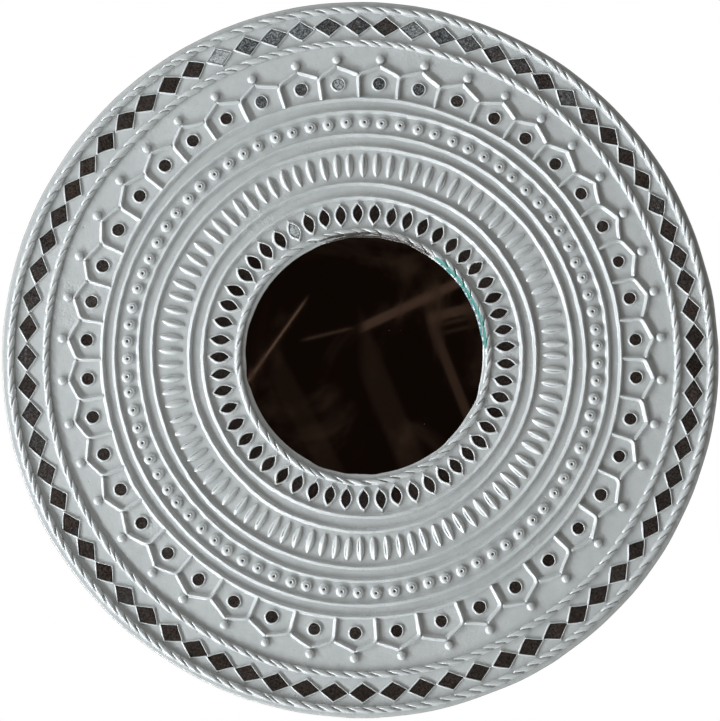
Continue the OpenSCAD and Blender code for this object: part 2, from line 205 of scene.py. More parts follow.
FACE = Band.of("clay_ground").top
"""Level of the clay ground's face, on which all the relief stands."""


@dataclass(frozen=True)
class Wander:
    """A smooth closed wave round a ring, as a hand-laid line wanders: a sum of cosines of whole turns."""

    seed: int
    size: float
    slowest: int = 2
    fastest: int = 12

    def at(self, angle: Array) -> Array:
        """Adds up the cosines.

        Args:
            angle: Angles in radians.

        Returns:
            The wave there, with size as its usual reach.
        """
        draw = np.random.default_rng(self.seed)
        order = np.arange(self.slowest, self.fastest + 1)
        share = draw.normal(size=order.size) / np.sqrt(order)
        share *= self.size * math.sqrt(2) / np.linalg.norm(share)
        return np.cos(np.asarray(angle)[..., None] * order + draw.uniform(0, TURN, order.size)) @ share


@dataclass(frozen=True)
class Swell:
    """Gentle unevenness of a skin smoothed by hand: a sum of plane waves in random directions."""

    seed: int
    size: float
    shortest: float = 22 * MM
    longest: float = 90 * MM

    def at(self, x: Array, y: Array) -> Array:
        """Adds up the waves.

        Args:
            x: Places to the right.
            y: Places up the wall.

        Returns:
            How far the skin stands out there.
        """
        draw = np.random.default_rng(self.seed)
        length = draw.uniform(self.shortest, self.longest, 14)
        way = draw.uniform(0, TURN, 14)
        share = length * draw.normal(size=14)
        share *= self.size * math.sqrt(2) / np.linalg.norm(share)
        phase = x[..., None] * (np.cos(way) * TURN / length) + y[..., None] * (np.sin(way) * TURN / length)
        return np.cos(phase + draw.uniform(0, TURN, 14)) @ share


@dataclass(frozen=True)
class Spacing:
    """How a maker's repeats stand round a ring, in degrees: even steps, a slow drift and small slips."""

    count: int
    turn: float
    drift: tuple[float, float]
    """Size and place of the cosine that goes round once."""
    sway: tuple[float, float]
    """Size and place of the one that goes round twice."""
    slip: float
    seed: int

    def angles(self) -> Array:
        """Works out where each repeat stands: its even step, plus one slow cosine round the ring, plus one
        of half its length, plus its own slip.

        Returns:
            Angles in radians.
        """
        even = 90 + self.turn + 360 / self.count * np.arange(self.count)
        slow = self.drift[0] * np.cos(np.radians(even - self.drift[1]))
        half = self.sway[0] * np.cos(2 * np.radians(even - self.sway[1]))
        slips = np.random.default_rng(self.seed).normal(size=self.count) * self.slip
        return np.radians(even + slow + half + slips)


def on_panel(radius: Array, angle: Array, level: Array) -> Array:
    """Places on the panel's axes from a radius, an angle and a level, as (..., 3)."""
    radius, angle, level = np.broadcast_arrays(radius, angle, level)
    return np.stack([radius * np.cos(angle), radius * np.sin(angle), level], axis=-1)


def rotated(out: Array, along: Array, angle: Array) -> tuple[Array, Array]:
    """The two parts of an offset after it is turned anticlockwise by an angle."""
    return out * np.cos(angle) - along * np.sin(angle), out * np.sin(angle) + along * np.cos(angle)


def stretch(angle: Array, start: float, end: float, rise: float, fall: float) -> Array:
    """1 from one direction round to another, falling to 0 at its two ends.

    Args:
        angle: Angles in radians.
        start: The direction in degrees at which it is still 0.
        end: The direction in degrees at which it is 0 again.
        rise: Degrees over which it rises.
        fall: Degrees over which it falls.

    Returns:
        The share there.
    """
    degrees = np.degrees(angle) % 360
    return np.clip((degrees - start) / rise, 0, 1) * np.clip((end - degrees) / fall, 0, 1)


def closed_steps(count: int) -> Array:
    """Even angles round a whole turn, without the one that closes it."""
    return np.arange(count) * (TURN / count)


def coil_section(columns: int) -> tuple[Array, Array, Array]:
    """A rolled coil's section: a bell whose height falls as e to the minus (|x| / 0.72) to the 2.7, where x
    is the share of the half width, and whose foot ends in an edge turned down under the skin.

    Args:
        columns: Points over the bell.

    Returns:
        Each point's x, its share of the height, and how far it lies below that.
    """
    across = np.linspace(-1, 1, columns) * BELL
    rise = np.exp(-(np.abs(across) / 0.72) ** 2.7)
    turned_down = np.r_[1, np.zeros(columns), 1] * 0.4 * MM
    return np.r_[-BELL, across, BELL], np.r_[0, rise, 0], turned_down


def quarter(step: float) -> Array:
    """Angles in radians over a quarter turn, from 0, by a step in degrees."""
    return np.radians(np.arange(0, 91, step))


def waves(draw: np.random.Generator, count: int, t: Array, sizes: Mapping[int, float]) -> Array:
    """Slow waves round the outline of each repeat: a sum of cosines of whole turns, with its own sizes.

    Args:
        draw: The source of random numbers.
        count: How many repeats there are.
        t: Angles round the outline, as (1, angles, 1).
        sizes: Usual size of each cosine, by its number of waves.

    Returns:
        The waves, as (count, angles, 1).
    """
    own = (count, 1, 1)
    return sum(draw.normal(0, size, own) * np.cos(order * t + draw.uniform(0, TURN, own))
               for order, size in sizes.items())


def turned(middle: Array, reach: Array, level: Array, steps: int) -> Surface:
    """Profiles turned about axes that stand out from the wall: each point of a profile goes round its axis.

    Args:
        middle: Axes' places on the panel, as (batch, 2).
        reach: Distances from the axis, from the outer foot inwards, as (batch, profile).
        level: Levels there, as (batch, profile).
        steps: Points round each axis.

    Returns:
        The turned surfaces.
    """
    angle = closed_steps(steps)[None, :, None]
    x = middle[:, 0, None, None] + reach[:, None, :] * np.cos(angle)
    y = middle[:, 1, None, None] + reach[:, None, :] * np.sin(angle)
    return Surface(np.stack([x, y, np.broadcast_to(level[:, None, :], x.shape)], axis=-1), round_rows=True)


Value = Union["Signal", float]


@dataclass(frozen=True)
class Signal:
    """A node's output socket that stands for its value in Python expressions."""

    bench: "Bench"
    socket: bpy.types.NodeSocket

    def __add__(self, other: Value) -> "Signal":
        """Sum."""
        return self.bench.math("ADD", self, other)

    __radd__ = __add__

    def __sub__(self, other: Value) -> "Signal":
        """Difference."""
        return self.bench.math("SUBTRACT", self, other)

    def __rsub__(self, other: Value) -> "Signal":
        """Difference from a number."""
        return self.bench.math("SUBTRACT", other, self)

    def __mul__(self, other: Value) -> "Signal":
        """Product."""
        return self.bench.math("MULTIPLY", self, other)

    def __gt__(self, other: Value) -> "Signal":
        """1 where it is greater, otherwise 0."""
        return self.bench.math("GREATER_THAN", self, other)

    def step(self, low: float, high: float) -> "Signal":
        """Smooth rise from 0 at low to 1 at high."""
        return self.bench.add("ShaderNodeMapRange", {"interpolation_type": "SMOOTHSTEP"},
                              {"Value": self, "From Min": low, "From Max": high})


@dataclass(frozen=True)
class Bench:
    """One material's node tree, and the one way in which its nodes are made."""

    tree: bpy.types.NodeTree

    @classmethod
    def on(cls, owner: bpy.types.ID) -> "Bench":
        """Empties the node tree of a material or a world, and starts there.

        Args:
            owner: The material or the world.

        Returns:
            The bench.
        """
        owner.use_nodes = True
        owner.node_tree.nodes.clear()
        return cls(owner.node_tree)

    def add(self, kind: str, settings: Mapping[str, Any] | None = None,
            inputs: Mapping[Any, Any] | None = None, out: int = 0) -> Signal:
        """Makes a node.

        Args:
            kind: Its Blender type.
            settings: Its own settings; stops are a ramp's places and colours.
            inputs: Values or links of its sockets, by name or number.
            out: The number of the output wanted.

        Returns:
            That output.
        """
        node = self.tree.nodes.new(kind)
        for name, value in (settings or {}).items():
            if name == "stops":
                while len(node.color_ramp.elements) < len(value):
                    node.color_ramp.elements.new(1)
                for stop, (at, colour) in zip(node.color_ramp.elements, value):
                    stop.position = at
                    stop.color = (*colour, 1)
            else:
                setattr(node, name, value)
        for name, value in (inputs or {}).items():
            socket = node.inputs[name]
            if isinstance(value, Signal):
                self.tree.links.new(value.socket, socket)
            elif isinstance(value, tuple) and socket.type == "RGBA":
                socket.default_value = (*value, 1)
            else:
                socket.default_value = value
        return Signal(self, node.outputs[out] if node.outputs else None)

    def math(self, operation: str, first: Value, second: Value) -> Signal:
        """One Math node on two values."""
        return self.add("ShaderNodeMath", {"operation": operation}, {0: first, 1: second})

    def place(self, stretch: tuple[float, float, float] = (1, 1, 1)) -> Signal:
        """Reads the point's place on the object.

        Args:
            stretch: What each axis is multiplied by.

        Returns:
            The place.
        """
        spot = self.add("ShaderNodeTexCoord", out=3)
        if stretch == (1, 1, 1):
            return spot
        return self.add("ShaderNodeVectorMath", {"operation": "MULTIPLY"}, {0: spot, 1: stretch})

    def mark(self, name: str) -> Signal:
        """A named number of the mesh."""
        return self.add("ShaderNodeAttribute", {"attribute_name": name}, out=2)

    def noise(self, spot: Signal, scale: float, detail: float = 2, rough: float = 0.5,
              swirl: float = 0) -> Signal:
        """Soft noise from about 0.3 to 0.7, with scale spots a metre."""
        return self.add("ShaderNodeTexNoise", None, {"Vector": spot, "Scale": scale, "Detail": detail,
                                                     "Roughness": rough, "Distortion": swirl})

    def cells(self, spot: Signal, scale: float) -> Signal:
        """Distance from the nearest of scattered points, with about scale of them along a metre."""
        return self.add("ShaderNodeTexVoronoi", {"feature": "F1"}, {"Vector": spot, "Scale": scale})

    def blend(self, share: Value, first: Any, second: Any) -> Signal:
        """Colour between two colours, the second one where share is 1."""
        return self.add("ShaderNodeMix", {"data_type": "RGBA"}, {0: share, 6: first, 7: second}, out=2)

    def along(self, way: Signal, line: tuple[float, float, float]) -> Signal:
        """How far a direction or a place lies along a line."""
        return self.add("ShaderNodeVectorMath", {"operation": "DOT_PRODUCT"}, {0: way, 1: line}, out=1)

    def bump(self, height: Signal, depth: float) -> Signal:
        """Normals of a skin that rises by depth where height is 1."""
        return self.add("ShaderNodeBump", None, {"Height": height, "Distance": depth, "Strength": 1.0})

    def surface(self, **inputs: Any) -> Signal:
        """A Principled shader; an input's name is written with _ for each space."""
        return self.add("ShaderNodeBsdfPrincipled", None, {n.replace("_", " "): v for n, v in inputs.items()})


Colour = tuple[float, float, float]


@dataclass(frozen=True)
class Finish:
    """A surface finish, made once and shared by the pieces that wear it."""

    name: str
    slot: str

    def material(self) -> bpy.types.Material:
        """Finds the finish's material, or makes it.

        Returns:
            The material.
        """
        known = bpy.data.materials.get(self.name)
        if known:
            return known
        made = bpy.data.materials.new(self.name)
        bench = Bench.on(made)
        bench.add("ShaderNodeOutputMaterial", None, {"Surface": self.dress(bench)})
        return made

    def dress(self, bench: Bench) -> Signal:
        """Makes the finish's nodes and returns its shader."""
        raise NotImplementedError

    def wear(self, node: str) -> None:
        """Puts the finish on a CAD node that stays in view.

        Args:
            node: The CAD node's name.
        """
        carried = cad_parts[node]
        carried.data.materials.clear()
        carried.data.materials.append(self.material())
        log.info("%s: carried over in %s", node, self.name)


@dataclass(frozen=True)
class ClayPaint(Finish):
    """Cool grey satin paint brushed over clay, with painted shade darkening its creases, feet and pricks and
    the rim where the lamp strikes it, the strip of teal that got on the centre rope and, beside it, a
    near-black strip that is a painted reflection of the rope in the mirror. It reads three marks: the painted
    shade, the teal and the painted dark reflection."""

    paint: Colour = (0.496, 0.525, 0.525)
    worn: Colour = (0.452, 0.484, 0.484)
    # Dark tone for the painted shade in creases, feet, pricks and on the rim, and for grit flecks.
    painted_shade_and_grit_tone: Colour = (0.180, 0.174, 0.156)
    teal: Colour = (0.012, 0.155, 0.122)
    teal_thin: Colour = (0.028, 0.195, 0.158)
    teal_edge: Colour = (0.055, 0.130, 0.190)
    # Near-black painted reflection of the rope in the mirror, laid on the rope's inner flank and the lip over
    # the mirror's top.
    bare: Colour = (0.040, 0.037, 0.031)
    gloss: float = 0.27

    def dress(self, bench: Bench) -> Signal:
        """Colour is the paint, mixed with the worn tone by broad and small blotches, and pulled towards a
        dark tone by the painted shade mark, to which grit flecks are added; that mark also dims the coat. A
        near-black painted reflection lies where its mark, roughened by noise, passes about a half. Teal lies
        where its mark, roughened by noise, passes a half. The skin's bumps are brushed ripples, grains that
        stand out in a few spoiled places, and a few pits.

        Args:
            bench: The material's node tree.

        Returns:
            The shader.
        """
        spot = bench.place()
        broad = bench.noise(spot, 16, 3)
        blotch = bench.noise(spot, 120, 3, 0.6)
        grain = bench.noise(spot, 520, 2, 0.6)
        worn = (broad + blotch * 1.3 + grain * 0.5).step(1.15, 1.75)
        fleck = 1 - bench.cells(spot, 95).step(0.05, 0.10)
        rare = (bench.noise(spot, 38, 1) > 0.56) * fleck
        # Painted shade: the mesh's mark darkens creases, feet, pricks and the rim where the lamp strikes it;
        # grit flecks are added to it.
        hollow = bench.mark("hollow") + rare * 0.25
        colour = bench.blend(worn, self.paint, self.worn)
        colour = bench.blend(hollow.step(0.30, 1.5), colour, self.painted_shade_and_grit_tone)
        rag = (bench.noise(spot, 300, 4, 0.7) - 0.5) * 1.1
        # Painted dark reflection of the rope in the mirror.
        colour = bench.blend((bench.mark("bare") + rag).step(0.36, 0.60), colour, self.bare)
        ragged = bench.mark("teal") + rag
        edge = ragged.step(0.36, 0.42)
        colour = bench.blend(edge, colour, self.teal_edge)
        tint = bench.blend(blotch.step(0.35, 0.65), self.teal, self.teal_thin)
        colour = bench.blend(ragged.step(0.45, 0.52), colour, tint)
        spoiled = bench.noise(spot, 11, 2).step(0.58, 0.68)
        grit = bench.noise(spot, 1100, 2, 0.7)
        skin = broad * 0.4 + blotch * 0.6 + grain * (0.40 + spoiled * 1.4) + grit * 0.22 - rare * 0.8
        return bench.surface(Base_Color=colour, Roughness=self.gloss + worn * 0.12 + edge * 0.3,
                             Normal=bench.bump(skin, 0.36 * MM), Specular_IOR_Level=0.9,
                             Coat_Weight=(1.0 - edge * 0.95) * (1 - hollow.step(0.3, 1.1) * 0.75),
                             Coat_Roughness=0.19, Coat_IOR=1.6)


@dataclass(frozen=True)
class MirrorGlass(Finish):
    """Silvered glass that shows a dark room, its silver darkened as a painted reflection of that room, with
    faint smudges and dust.
    """

    # Silver darkened as a painted reflection of the dark room.
    silver_painted_dark: Colour = (0.105, 0.094, 0.088)
    smudge: Colour = (0.170, 0.150, 0.140)
    dust: Colour = (0.5, 0.5, 0.48)

    def dress(self, bench: Bench) -> Signal:
        """Long soft smudges, from noise stretched along a slant, lift the colour and the roughness a little.

        Args:
            bench: The material's node tree.

        Returns:
            The shader.
        """
        spot = bench.place((1, 1, 0.35))
        wipe = bench.noise(spot, 26, 4, 0.55, 0.6).step(0.52, 0.74)
        dust = (1 - bench.cells(bench.place(), 130).step(0.02, 0.05)) * (bench.noise(spot, 45, 1) > 0.62)
        colour = bench.blend(wipe * 0.6, self.silver_painted_dark, self.smudge)
        colour = bench.blend(dust * 0.5, colour, self.dust)
        return bench.surface(Base_Color=colour, Metallic=1 - dust * 0.5, Roughness=0.015 + wipe * 0.03)


@dataclass(frozen=True)
class ChipGlass(Finish):
    """Cut mirror chips: dark, scratched, with a painted reflection of what they face laid on as a matt
    colour, and matt where paint has dried on a few of them. It reads three marks: the tone, from near black
    over brown and slate to pale, whose top is also the colour of dried paint; the share in which that tone
    shows, as painted reflection on most chips and as dried paint on a few; and the border, which is 1 at the
    edge."""

    # Brown of the dim room, as a painted reflection.
    painted_brown_reflection: Colour = (0.060, 0.036, 0.026)
    tones: Sequence[tuple[float, Colour]] = (
        (0.0, (0.003, 0.003, 0.003)), (0.22, (0.020, 0.014, 0.011)), (0.36, painted_brown_reflection),
        (0.46, (0.024, 0.025, 0.025)), (0.66, (0.074, 0.083, 0.088)), (0.85, (0.200, 0.225, 0.235)),
        (1.0, (0.470, 0.500, 0.500)))
    # The painted reflection's colour at each tone, from 0 to 1; at 1 it is also the colour of dried paint.
    """The glass's colour at each tint, from 0 to 1."""
    slate: Colour = (0.012, 0.013, 0.014)
    edge: Colour = (0.020, 0.017, 0.015)
    # Silver darkened as a painted reflection of the dark room.
    silver_dark: Colour = (0.030, 0.024, 0.020)
    silver_pale: Colour = (0.120, 0.105, 0.095)

    def dress(self, bench: Bench) -> Signal:
        """The tone mark picks the painted reflection's colour from a ramp, flecks of brown and slate break it
        up, and the share mark and fine scratches turn the darkened silver into that matt colour.

        Args:
            bench: The material's node tree.

        Returns:
            The shader.
        """
        spot = bench.place()
        # Tone and share of the painted reflection, which on a few chips is dried paint instead.
        tint, veil = bench.mark("tint"), bench.mark("veil")
        mottle = bench.noise(spot, 560, 3, 0.70, 1.0)
        broken = tint + (mottle.step(0.36, 0.64) - 0.62) * (0.76 - tint * 0.5)
        body = bench.add("ShaderNodeValToRGB", {"stops": self.tones}, {"Fac": broken})
        fleck = bench.noise(spot, 620, 2).step(0.50, 0.62)
        warm = bench.blend(fleck * 0.40, body, self.painted_brown_reflection)
        cool = bench.blend(fleck * 0.6, body, self.slate)
        colour = bench.blend(bench.noise(spot, 70, 1).step(0.45, 0.55), warm, cool)
        scratch = bench.noise(bench.place((1, 1, 0.16)), 1400, 2, 0.7).step(0.58, 0.72)
        # Silver darkened as a painted reflection of the dark room.
        silver_painted_dark = bench.blend(mottle.step(0.3, 0.7), self.silver_dark, self.silver_pale)
        colour = bench.blend(bench.mark("border").step(0.15, 1.0) * 0.65, colour, self.edge)
        share = (veil + scratch * 0.10 + fleck * 0.12).step(0.0, 1.0)
        return bench.surface(Base_Color=bench.blend(share, silver_painted_dark, colour), Metallic=1 - share,
                             Roughness=0.05 + share * 0.17,
                             Normal=bench.bump(mottle + scratch * 0.3, 0.02 * MM), Specular_IOR_Level=0.3)


@dataclass(frozen=True)
class Fibreboard(Finish):
    """Bare fibreboard: pressed brown fibres without a grain, darker bits of bark, and grey paint that ran
    over the edge on to the back. It reads the mark painted."""

    pale: Colour = (0.440, 0.305, 0.180)
    dark: Colour = (0.325, 0.215, 0.122)
    bark: Colour = (0.17, 0.105, 0.058)
    paint: Colour = (0.500, 0.545, 0.555)

    def dress(self, bench: Bench) -> Signal:
        """Fibres are fine swirled noise, flecks a coarser one; paint lies where its mark, roughened by noise,
        passes a half.

        Args:
            bench: The material's node tree.

        Returns:
            The shader.
        """
        spot = bench.place()
        fibre = bench.noise(spot, 640, 4, 0.7, 1.8)
        fleck = bench.noise(spot, 300, 3, 0.65, 2.6)
        cloud = bench.noise(spot, 6, 3)
        board = bench.blend((fibre * 0.7 + cloud * 0.6).step(0.45, 0.85), self.pale, self.dark)
        board = bench.blend(fleck.step(0.58, 0.68) * 0.5, board, self.bark)
        ragged = (bench.mark("painted") + (bench.noise(spot, 75, 4, 0.7) - 0.5) * 0.9).step(0.48, 0.54)
        colour = bench.blend(ragged, board, self.paint)
        return bench.surface(Base_Color=colour, Roughness=0.72 - ragged * 0.2,
                             Normal=bench.bump(fibre * 0.3 + fleck * 0.2 + ragged * 0.5, 0.25 * MM))


@dataclass(frozen=True)
class Felt(Finish):
    """Pressed grey-brown felt."""

    dark: Colour = (0.105, 0.092, 0.080)
    pale: Colour = (0.23, 0.21, 0.19)

    def dress(self, bench: Bench) -> Signal:
        """Tangled fibres from two swirled noises.

        Args:
            bench: The material's node tree.

        Returns:
            The shader.
        """
        spot = bench.place()
        fibre = bench.noise(spot, 900, 4, 0.75, 2.2)
        tuft = bench.noise(spot, 160, 3, 0.6)
        tangle = (fibre * 0.7 + tuft * 0.5).step(0.45, 0.8)
        colour = bench.blend(tangle, self.dark, self.pale)
        return bench.surface(Base_Color=colour, Roughness=0.95, Normal=bench.bump(fibre + tuft, 0.5 * MM),
                             Sheen_Weight=0.35)


@dataclass(frozen=True)
class Glue(Finish):
    """Set white glue behind the mirror."""

    deep: Colour = (0.62, 0.58, 0.46)
    thin: Colour = (0.74, 0.71, 0.60)

    def dress(self, bench: Bench) -> Signal:
        """Slightly yellow, with soft lumps.

        Args:
            bench: The material's node tree.

        Returns:
            The shader.
        """
        lump = bench.noise(bench.place(), 140, 3)
        colour = bench.blend(lump.step(0.35, 0.65), self.deep, self.thin)
        return bench.surface(Base_Color=colour, Roughness=0.38, Normal=bench.bump(lump, 0.4 * MM))


@dataclass(frozen=True)
class PlatedSteel(Finish):
    """Plated steel of the hangers: rubbed, with dull and bright patches and fine scratches."""

    plate: Colour = (0.62, 0.62, 0.60)
    dull: Colour = (0.40, 0.39, 0.37)
    gloss: float = 0.28
    along: tuple[float, float, float] = (1, 1, 0.12)

    def dress(self, bench: Bench) -> Signal:
        """Patches mix the two tones, and stretched noise scratches them.

        Args:
            bench: The material's node tree.

        Returns:
            The shader.
        """
        patch = bench.noise(bench.place(), 260, 4, 0.65)
        scratch = bench.noise(bench.place(self.along), 1800, 2, 0.6)
        colour = bench.blend((patch + scratch * 0.4).step(0.55, 0.9), self.plate, self.dull)
        return bench.surface(Base_Color=colour, Metallic=1.0, Roughness=self.gloss + patch * 0.25,
                             Normal=bench.bump(patch * 0.3 + scratch * 0.5, 0.06 * MM))


CLAY = ClayPaint("grey_clay_paint", "painted_clay")
GLASS = MirrorGlass("dark_mirror", "mirror_glass")
CHIPS = ChipGlass("cut_mirror_chips", "chip_glass")
BOARD = Fibreboard("bare_fibreboard", "board_wood")
FELT = Felt("pressed_felt", "felt")
GLUE = Glue("set_glue", "adhesive")
STRAP_STEEL = PlatedSteel("strap_plate", "hanger_steel")
RING_STEEL = PlatedSteel("ring_plate", "ring_steel", plate=(0.72, 0.71, 0.68), gloss=0.18, along=(0.2, 1, 1))
SCREW_STEEL = PlatedSteel("screw_plate", "screw_steel", plate=(0.66, 0.60, 0.44), dull=(0.42, 0.37, 0.27))


@dataclass
class ClaySkin:
    """The clay ground, its rounded rim, and the lip round the centre mirror."""

    rim_round: float = 1.4 * MM
    lip_round: float = 1.3 * MM
    steps: int = 720
    lip_steps: int = 480
    edge_in: float = 0.12 * MM
    """How far the skin stays inside the edge of its CAD node, because it wanders."""
    edge_waver: Wander = Wander(3, 0.35 * MM, 3, 40)
    edge_rows: int = 8
    """Rows of the face over which the edge's waver dies away."""
    face_swell: Swell = Swell(5, 0.16 * MM)
    lip_waver: Wander = Wander(11, 0.22 * MM, 3, 30)
    lip_dip: Wander = Wander(12, 0.12 * MM, 4, 36)
    teal_from: float = 2.0
    teal_to: float = 56.0
    # Where the painted dark reflection ends, in degrees.
    painted_dark_reflection_to: float = 122.0

    def ground(self) -> Surface:
        """The skin as one closed ring: its section goes up the edge, over the rim's quarter round, in across
        the face with its swell, down under the centre rope and back behind.

        Returns:
            The ring.
        """
        band = Band.of("clay_ground")
        rope = Band.of("centre_rope")
        angle = closed_steps(self.steps)[:, None]
        inner, foot = rope.middle, band.foot
        bend = quarter(10.0)
        edge = band.outer - self.edge_in
        side_r = np.full(4, edge)
        side_h = np.linspace(foot, FACE - self.rim_round, 5)[:-1]
        rim_r = edge - self.rim_round * (1 - np.cos(bend))
        rim_h = FACE - self.rim_round * (1 - np.sin(bend))
        face_r = np.linspace(edge - self.rim_round, inner, 84)[1:]
        back_r = np.linspace(inner, edge, 5)[:-1]
        reach = np.concatenate([side_r, rim_r, face_r, back_r])[None, :]
        level = np.concatenate([side_h, rim_h, np.full(face_r.size, FACE), np.full(back_r.size, foot)])
        level = level[None, :]
        front = np.clip((level - foot) / (FACE - foot), 0, 1)
        still = face_r[self.edge_rows]
        outer = np.clip((reach - still) / (edge - still), 0, 1)
        wavy = reach - outer * np.abs(self.edge_waver.at(angle)) * (0.5 + 0.5 * front)
        rise = self.face_swell.at(wavy * np.cos(angle), wavy * np.sin(angle))
        # Painted shade on the rim's rounding and side, which darkens the faces that turn to the lamp.
        side = np.broadcast_to(1.05 * np.clip((FACE - 0.04 * MM - level) / (0.22 * MM), 0, 1), wavy.shape)
        level = level - front ** 4 * (np.abs(rise) * 0.6 + np.maximum(rise, 0) * 0.4)
        return Surface(on_panel(wavy, angle, level)[None], round_rows=True, round_columns=True,
                       marks={"hollow": side[None]})

    def lip(self) -> Surface:
        """The lip as one closed ring about the opening's own middle: up its outer edge under the rope, in
        across its face, over its rounded inner edge and back behind.

        Returns:
            The ring, with its teal mark and its mark of painted dark reflection.
        """
        low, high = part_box("clay_lip")
        middle = Vector(((low.x + high.x) / 2, (low.z + high.z) / 2))
        band = Band.of("clay_lip")
        outer = (high.x - low.x) / 2
        opening = band.inner + middle.length
        foot = band.foot
        angle = closed_steps(self.lip_steps)[:, None]
        bend = quarter(15.0)
        edge_r = opening + self.lip_round * (1 - np.sin(bend))
        edge_h = FACE - self.lip_round * (1 - np.cos(bend))
        face_r = [outer, outer, outer - 5 * MM, opening + 3.4 * MM, opening + 2.4 * MM]
        reach = np.concatenate([face_r, edge_r, [opening, opening + 3 * MM]])[None, :]
        sunk = FACE - 0.5 * MM
        level = np.concatenate([[foot, sunk, sunk, FACE - 0.1 * MM, FACE], edge_h, [foot, foot]])[None, :]
        near = np.clip((opening + 4 * MM - reach) / (4 * MM), 0, 1)
        hand = self.lip_waver.at(angle)
        reach = reach + near * (hand + np.abs(hand))
        level = level - (level > foot + 0.3 * MM) * np.abs(self.lip_dip.at(angle))
        points = on_panel(reach, angle, level) + np.array([middle.x, middle.y, 0])
        wall = reach < opening + 2.2 * MM
        return Surface(points[None], round_rows=True, round_columns=True,
                       marks={"teal": (0.42 * self.teal_share(angle) * wall)[None],
                              "bare": (0.8 * self.painted_dark_reflection_share(angle) * wall)[None]})

    def teal_share(self, angle: Array) -> Array:
        """1 along the strip that caught teal paint."""
        return stretch(angle, self.teal_from, self.teal_to, rise=4, fall=5)

    def painted_dark_reflection_share(self, angle: Array) -> Array:
        """1 along the strip over the mirror's top that carries the painted dark reflection, from where the
        teal ends.
        """
        return stretch(angle, self.teal_to - 2, self.painted_dark_reflection_to, rise=5, fall=22)

    def build(self) -> None:
        """Makes the ground and the lip."""
        make_piece("ground_skin", [self.ground()], CLAY, ["clay_ground"])
        make_piece("mirror_lip", [self.lip()], CLAY, ["clay_lip"])


@dataclass
class RolledCoil:
    """One plain clay coil laid as a ring by hand."""

    name: str
    node: str
    seed: int
    steps: int = 900

    def surface(self) -> Surface:
        """The coil's section is carried round the ring while its middle, width, height and lean wander.

        Returns:
            The closed ring.
        """
        band = Band.of(self.node)
        angle = closed_steps(self.steps)[:, None]
        across, rise, under = coil_section(17)
        middle = band.middle + Wander(self.seed, 0.35 * MM, 2, 16).at(angle) \
            + Wander(self.seed + 50, 0.08 * MM, 30, 90).at(angle)
        wide = band.width / 2 * (1 + Wander(self.seed + 100, 0.04, 5, 60).at(angle))
        high = band.height * (0.97 - np.abs(Wander(self.seed + 150, 0.05, 5, 60).at(angle)))
        lean = Wander(self.seed + 200, 0.10, 3, 24).at(angle)
        reach = middle - wide * (across + lean * rise * 0.5)
        level = FACE - SUNK + (high + SUNK) * rise - under
        return Surface(on_panel(reach, angle, level)[None], round_rows=True, round_columns=True)

    def build(self) -> None:
        """Makes the coil."""
        make_piece(self.name, [self.surface()], CLAY, [self.node], crease=70)


@dataclass
class TwistedRope:
    """A ring of two clay strands twisted together and pressed down."""

    name: str
    node: str
    marks: int
    seed: int
    groove: float = 0.62
    slant: float = 0.78
    per_mark: int = 14
    """Rows of points from one groove to the next."""
    crowding: float = 0.58
    """How strongly those rows crowd into the grooves, from 0 to 1."""
    skin: ClaySkin | None = None

    def surface(self) -> Surface:
        """The section is a half round whose reach shrinks by the groove's depth times (1 - |cos(pi p)|) to
        the 2.3, where p is the share of the way from one strand's back to the next. The rows of points lie
        along the grooves: each runs slantwise from the inner to the outer foot in a flat S, so a groove's
        bottom is one row. Grooves are shallow on the inner flank and end short of the outer foot.

        Returns:
            The closed ring, with its mark of painted shade in grooves and feet and, if it is given the skin,
            its teal mark and its mark of painted dark reflection.
        """
        band = Band.of(self.node)
        phase = np.arange(self.per_mark) / self.per_mark
        phase = phase + self.crowding * np.sin(TURN * phase) / TURN
        count = (np.arange(self.marks)[:, None] + phase[None, :]).reshape(-1, 1)
        share = np.tile(phase, self.marks)[:, None]
        bend = np.linspace(math.pi + 0.3, -0.3, 19)[None, :]
        out = np.cos(bend)
        run = self.slant * (0.5 * out + 0.07 * np.sin(math.pi * out))
        slip = Wander(self.seed, 0.16, 6, 60).at(count / self.marks * TURN)
        angle = (count + slip + run) / self.marks * TURN
        strand = np.random.default_rng(self.seed).normal(size=(self.marks, 1)).repeat(self.per_mark, axis=1)
        depth = self.groove * (1 + 0.10 * np.clip(strand.reshape(-1, 1), -2, 2))
        inner = 0.60 + 0.40 * np.clip((out + 0.85) / 0.9, 0, 1)
        outer = 1 - 0.55 * np.clip((out - 0.80) / 0.2, 0, 1)
        cut = (1 - np.abs(np.cos(math.pi * share))) ** 2.3 * inner * outer
        keep = 1 - depth * cut
        middle = band.middle + Wander(self.seed + 1, 0.35 * MM, 2, 14).at(angle)
        wide = band.width / 2 * (1 + Wander(self.seed + 2, 0.045, 8, 70).at(angle))
        high = band.height * (0.965 - np.abs(Wander(self.seed + 3, 0.035, 8, 70).at(angle)))
        flat = np.sign(out) * np.abs(out) ** 0.9
        reach = middle + wide * flat * (1 - 0.75 * (1 - keep))
        level = FACE + high * np.sin(bend) * np.where(np.sin(bend) > 0, keep, 0.5)
        # Painted shade in the grooves and along the feet.
        hollow = cut * (0.25 + 0.45 * np.sin(bend).clip(0, 1)) + 0.25 * (1 - np.sin(bend).clip(0, 1)) ** 3
        marks = {"hollow": np.broadcast_to(hollow, level.shape)[None] * 0.62}
        if self.skin:
            marks["teal"] = (self.skin.teal_share(angle) * np.clip(0.05 - out * 1.4, 0, 1))[None]
            # Painted dark reflection on the inner flank over the mirror's top.
            marks["bare"] = (self.skin.painted_dark_reflection_share(angle) * np.clip(0.05 - out * 1.6, 0, 1))[None]
        points = on_panel(reach, angle, level)[None]
        return Surface(points[:, :, ::-1], round_rows=True, round_columns=True,
                       marks={name: value[:, :, ::-1] for name, value in marks.items()})

    def build(self) -> None:
        """Makes the rope."""
        make_piece(self.name, [self.surface()], CLAY, [self.node], crease=75)


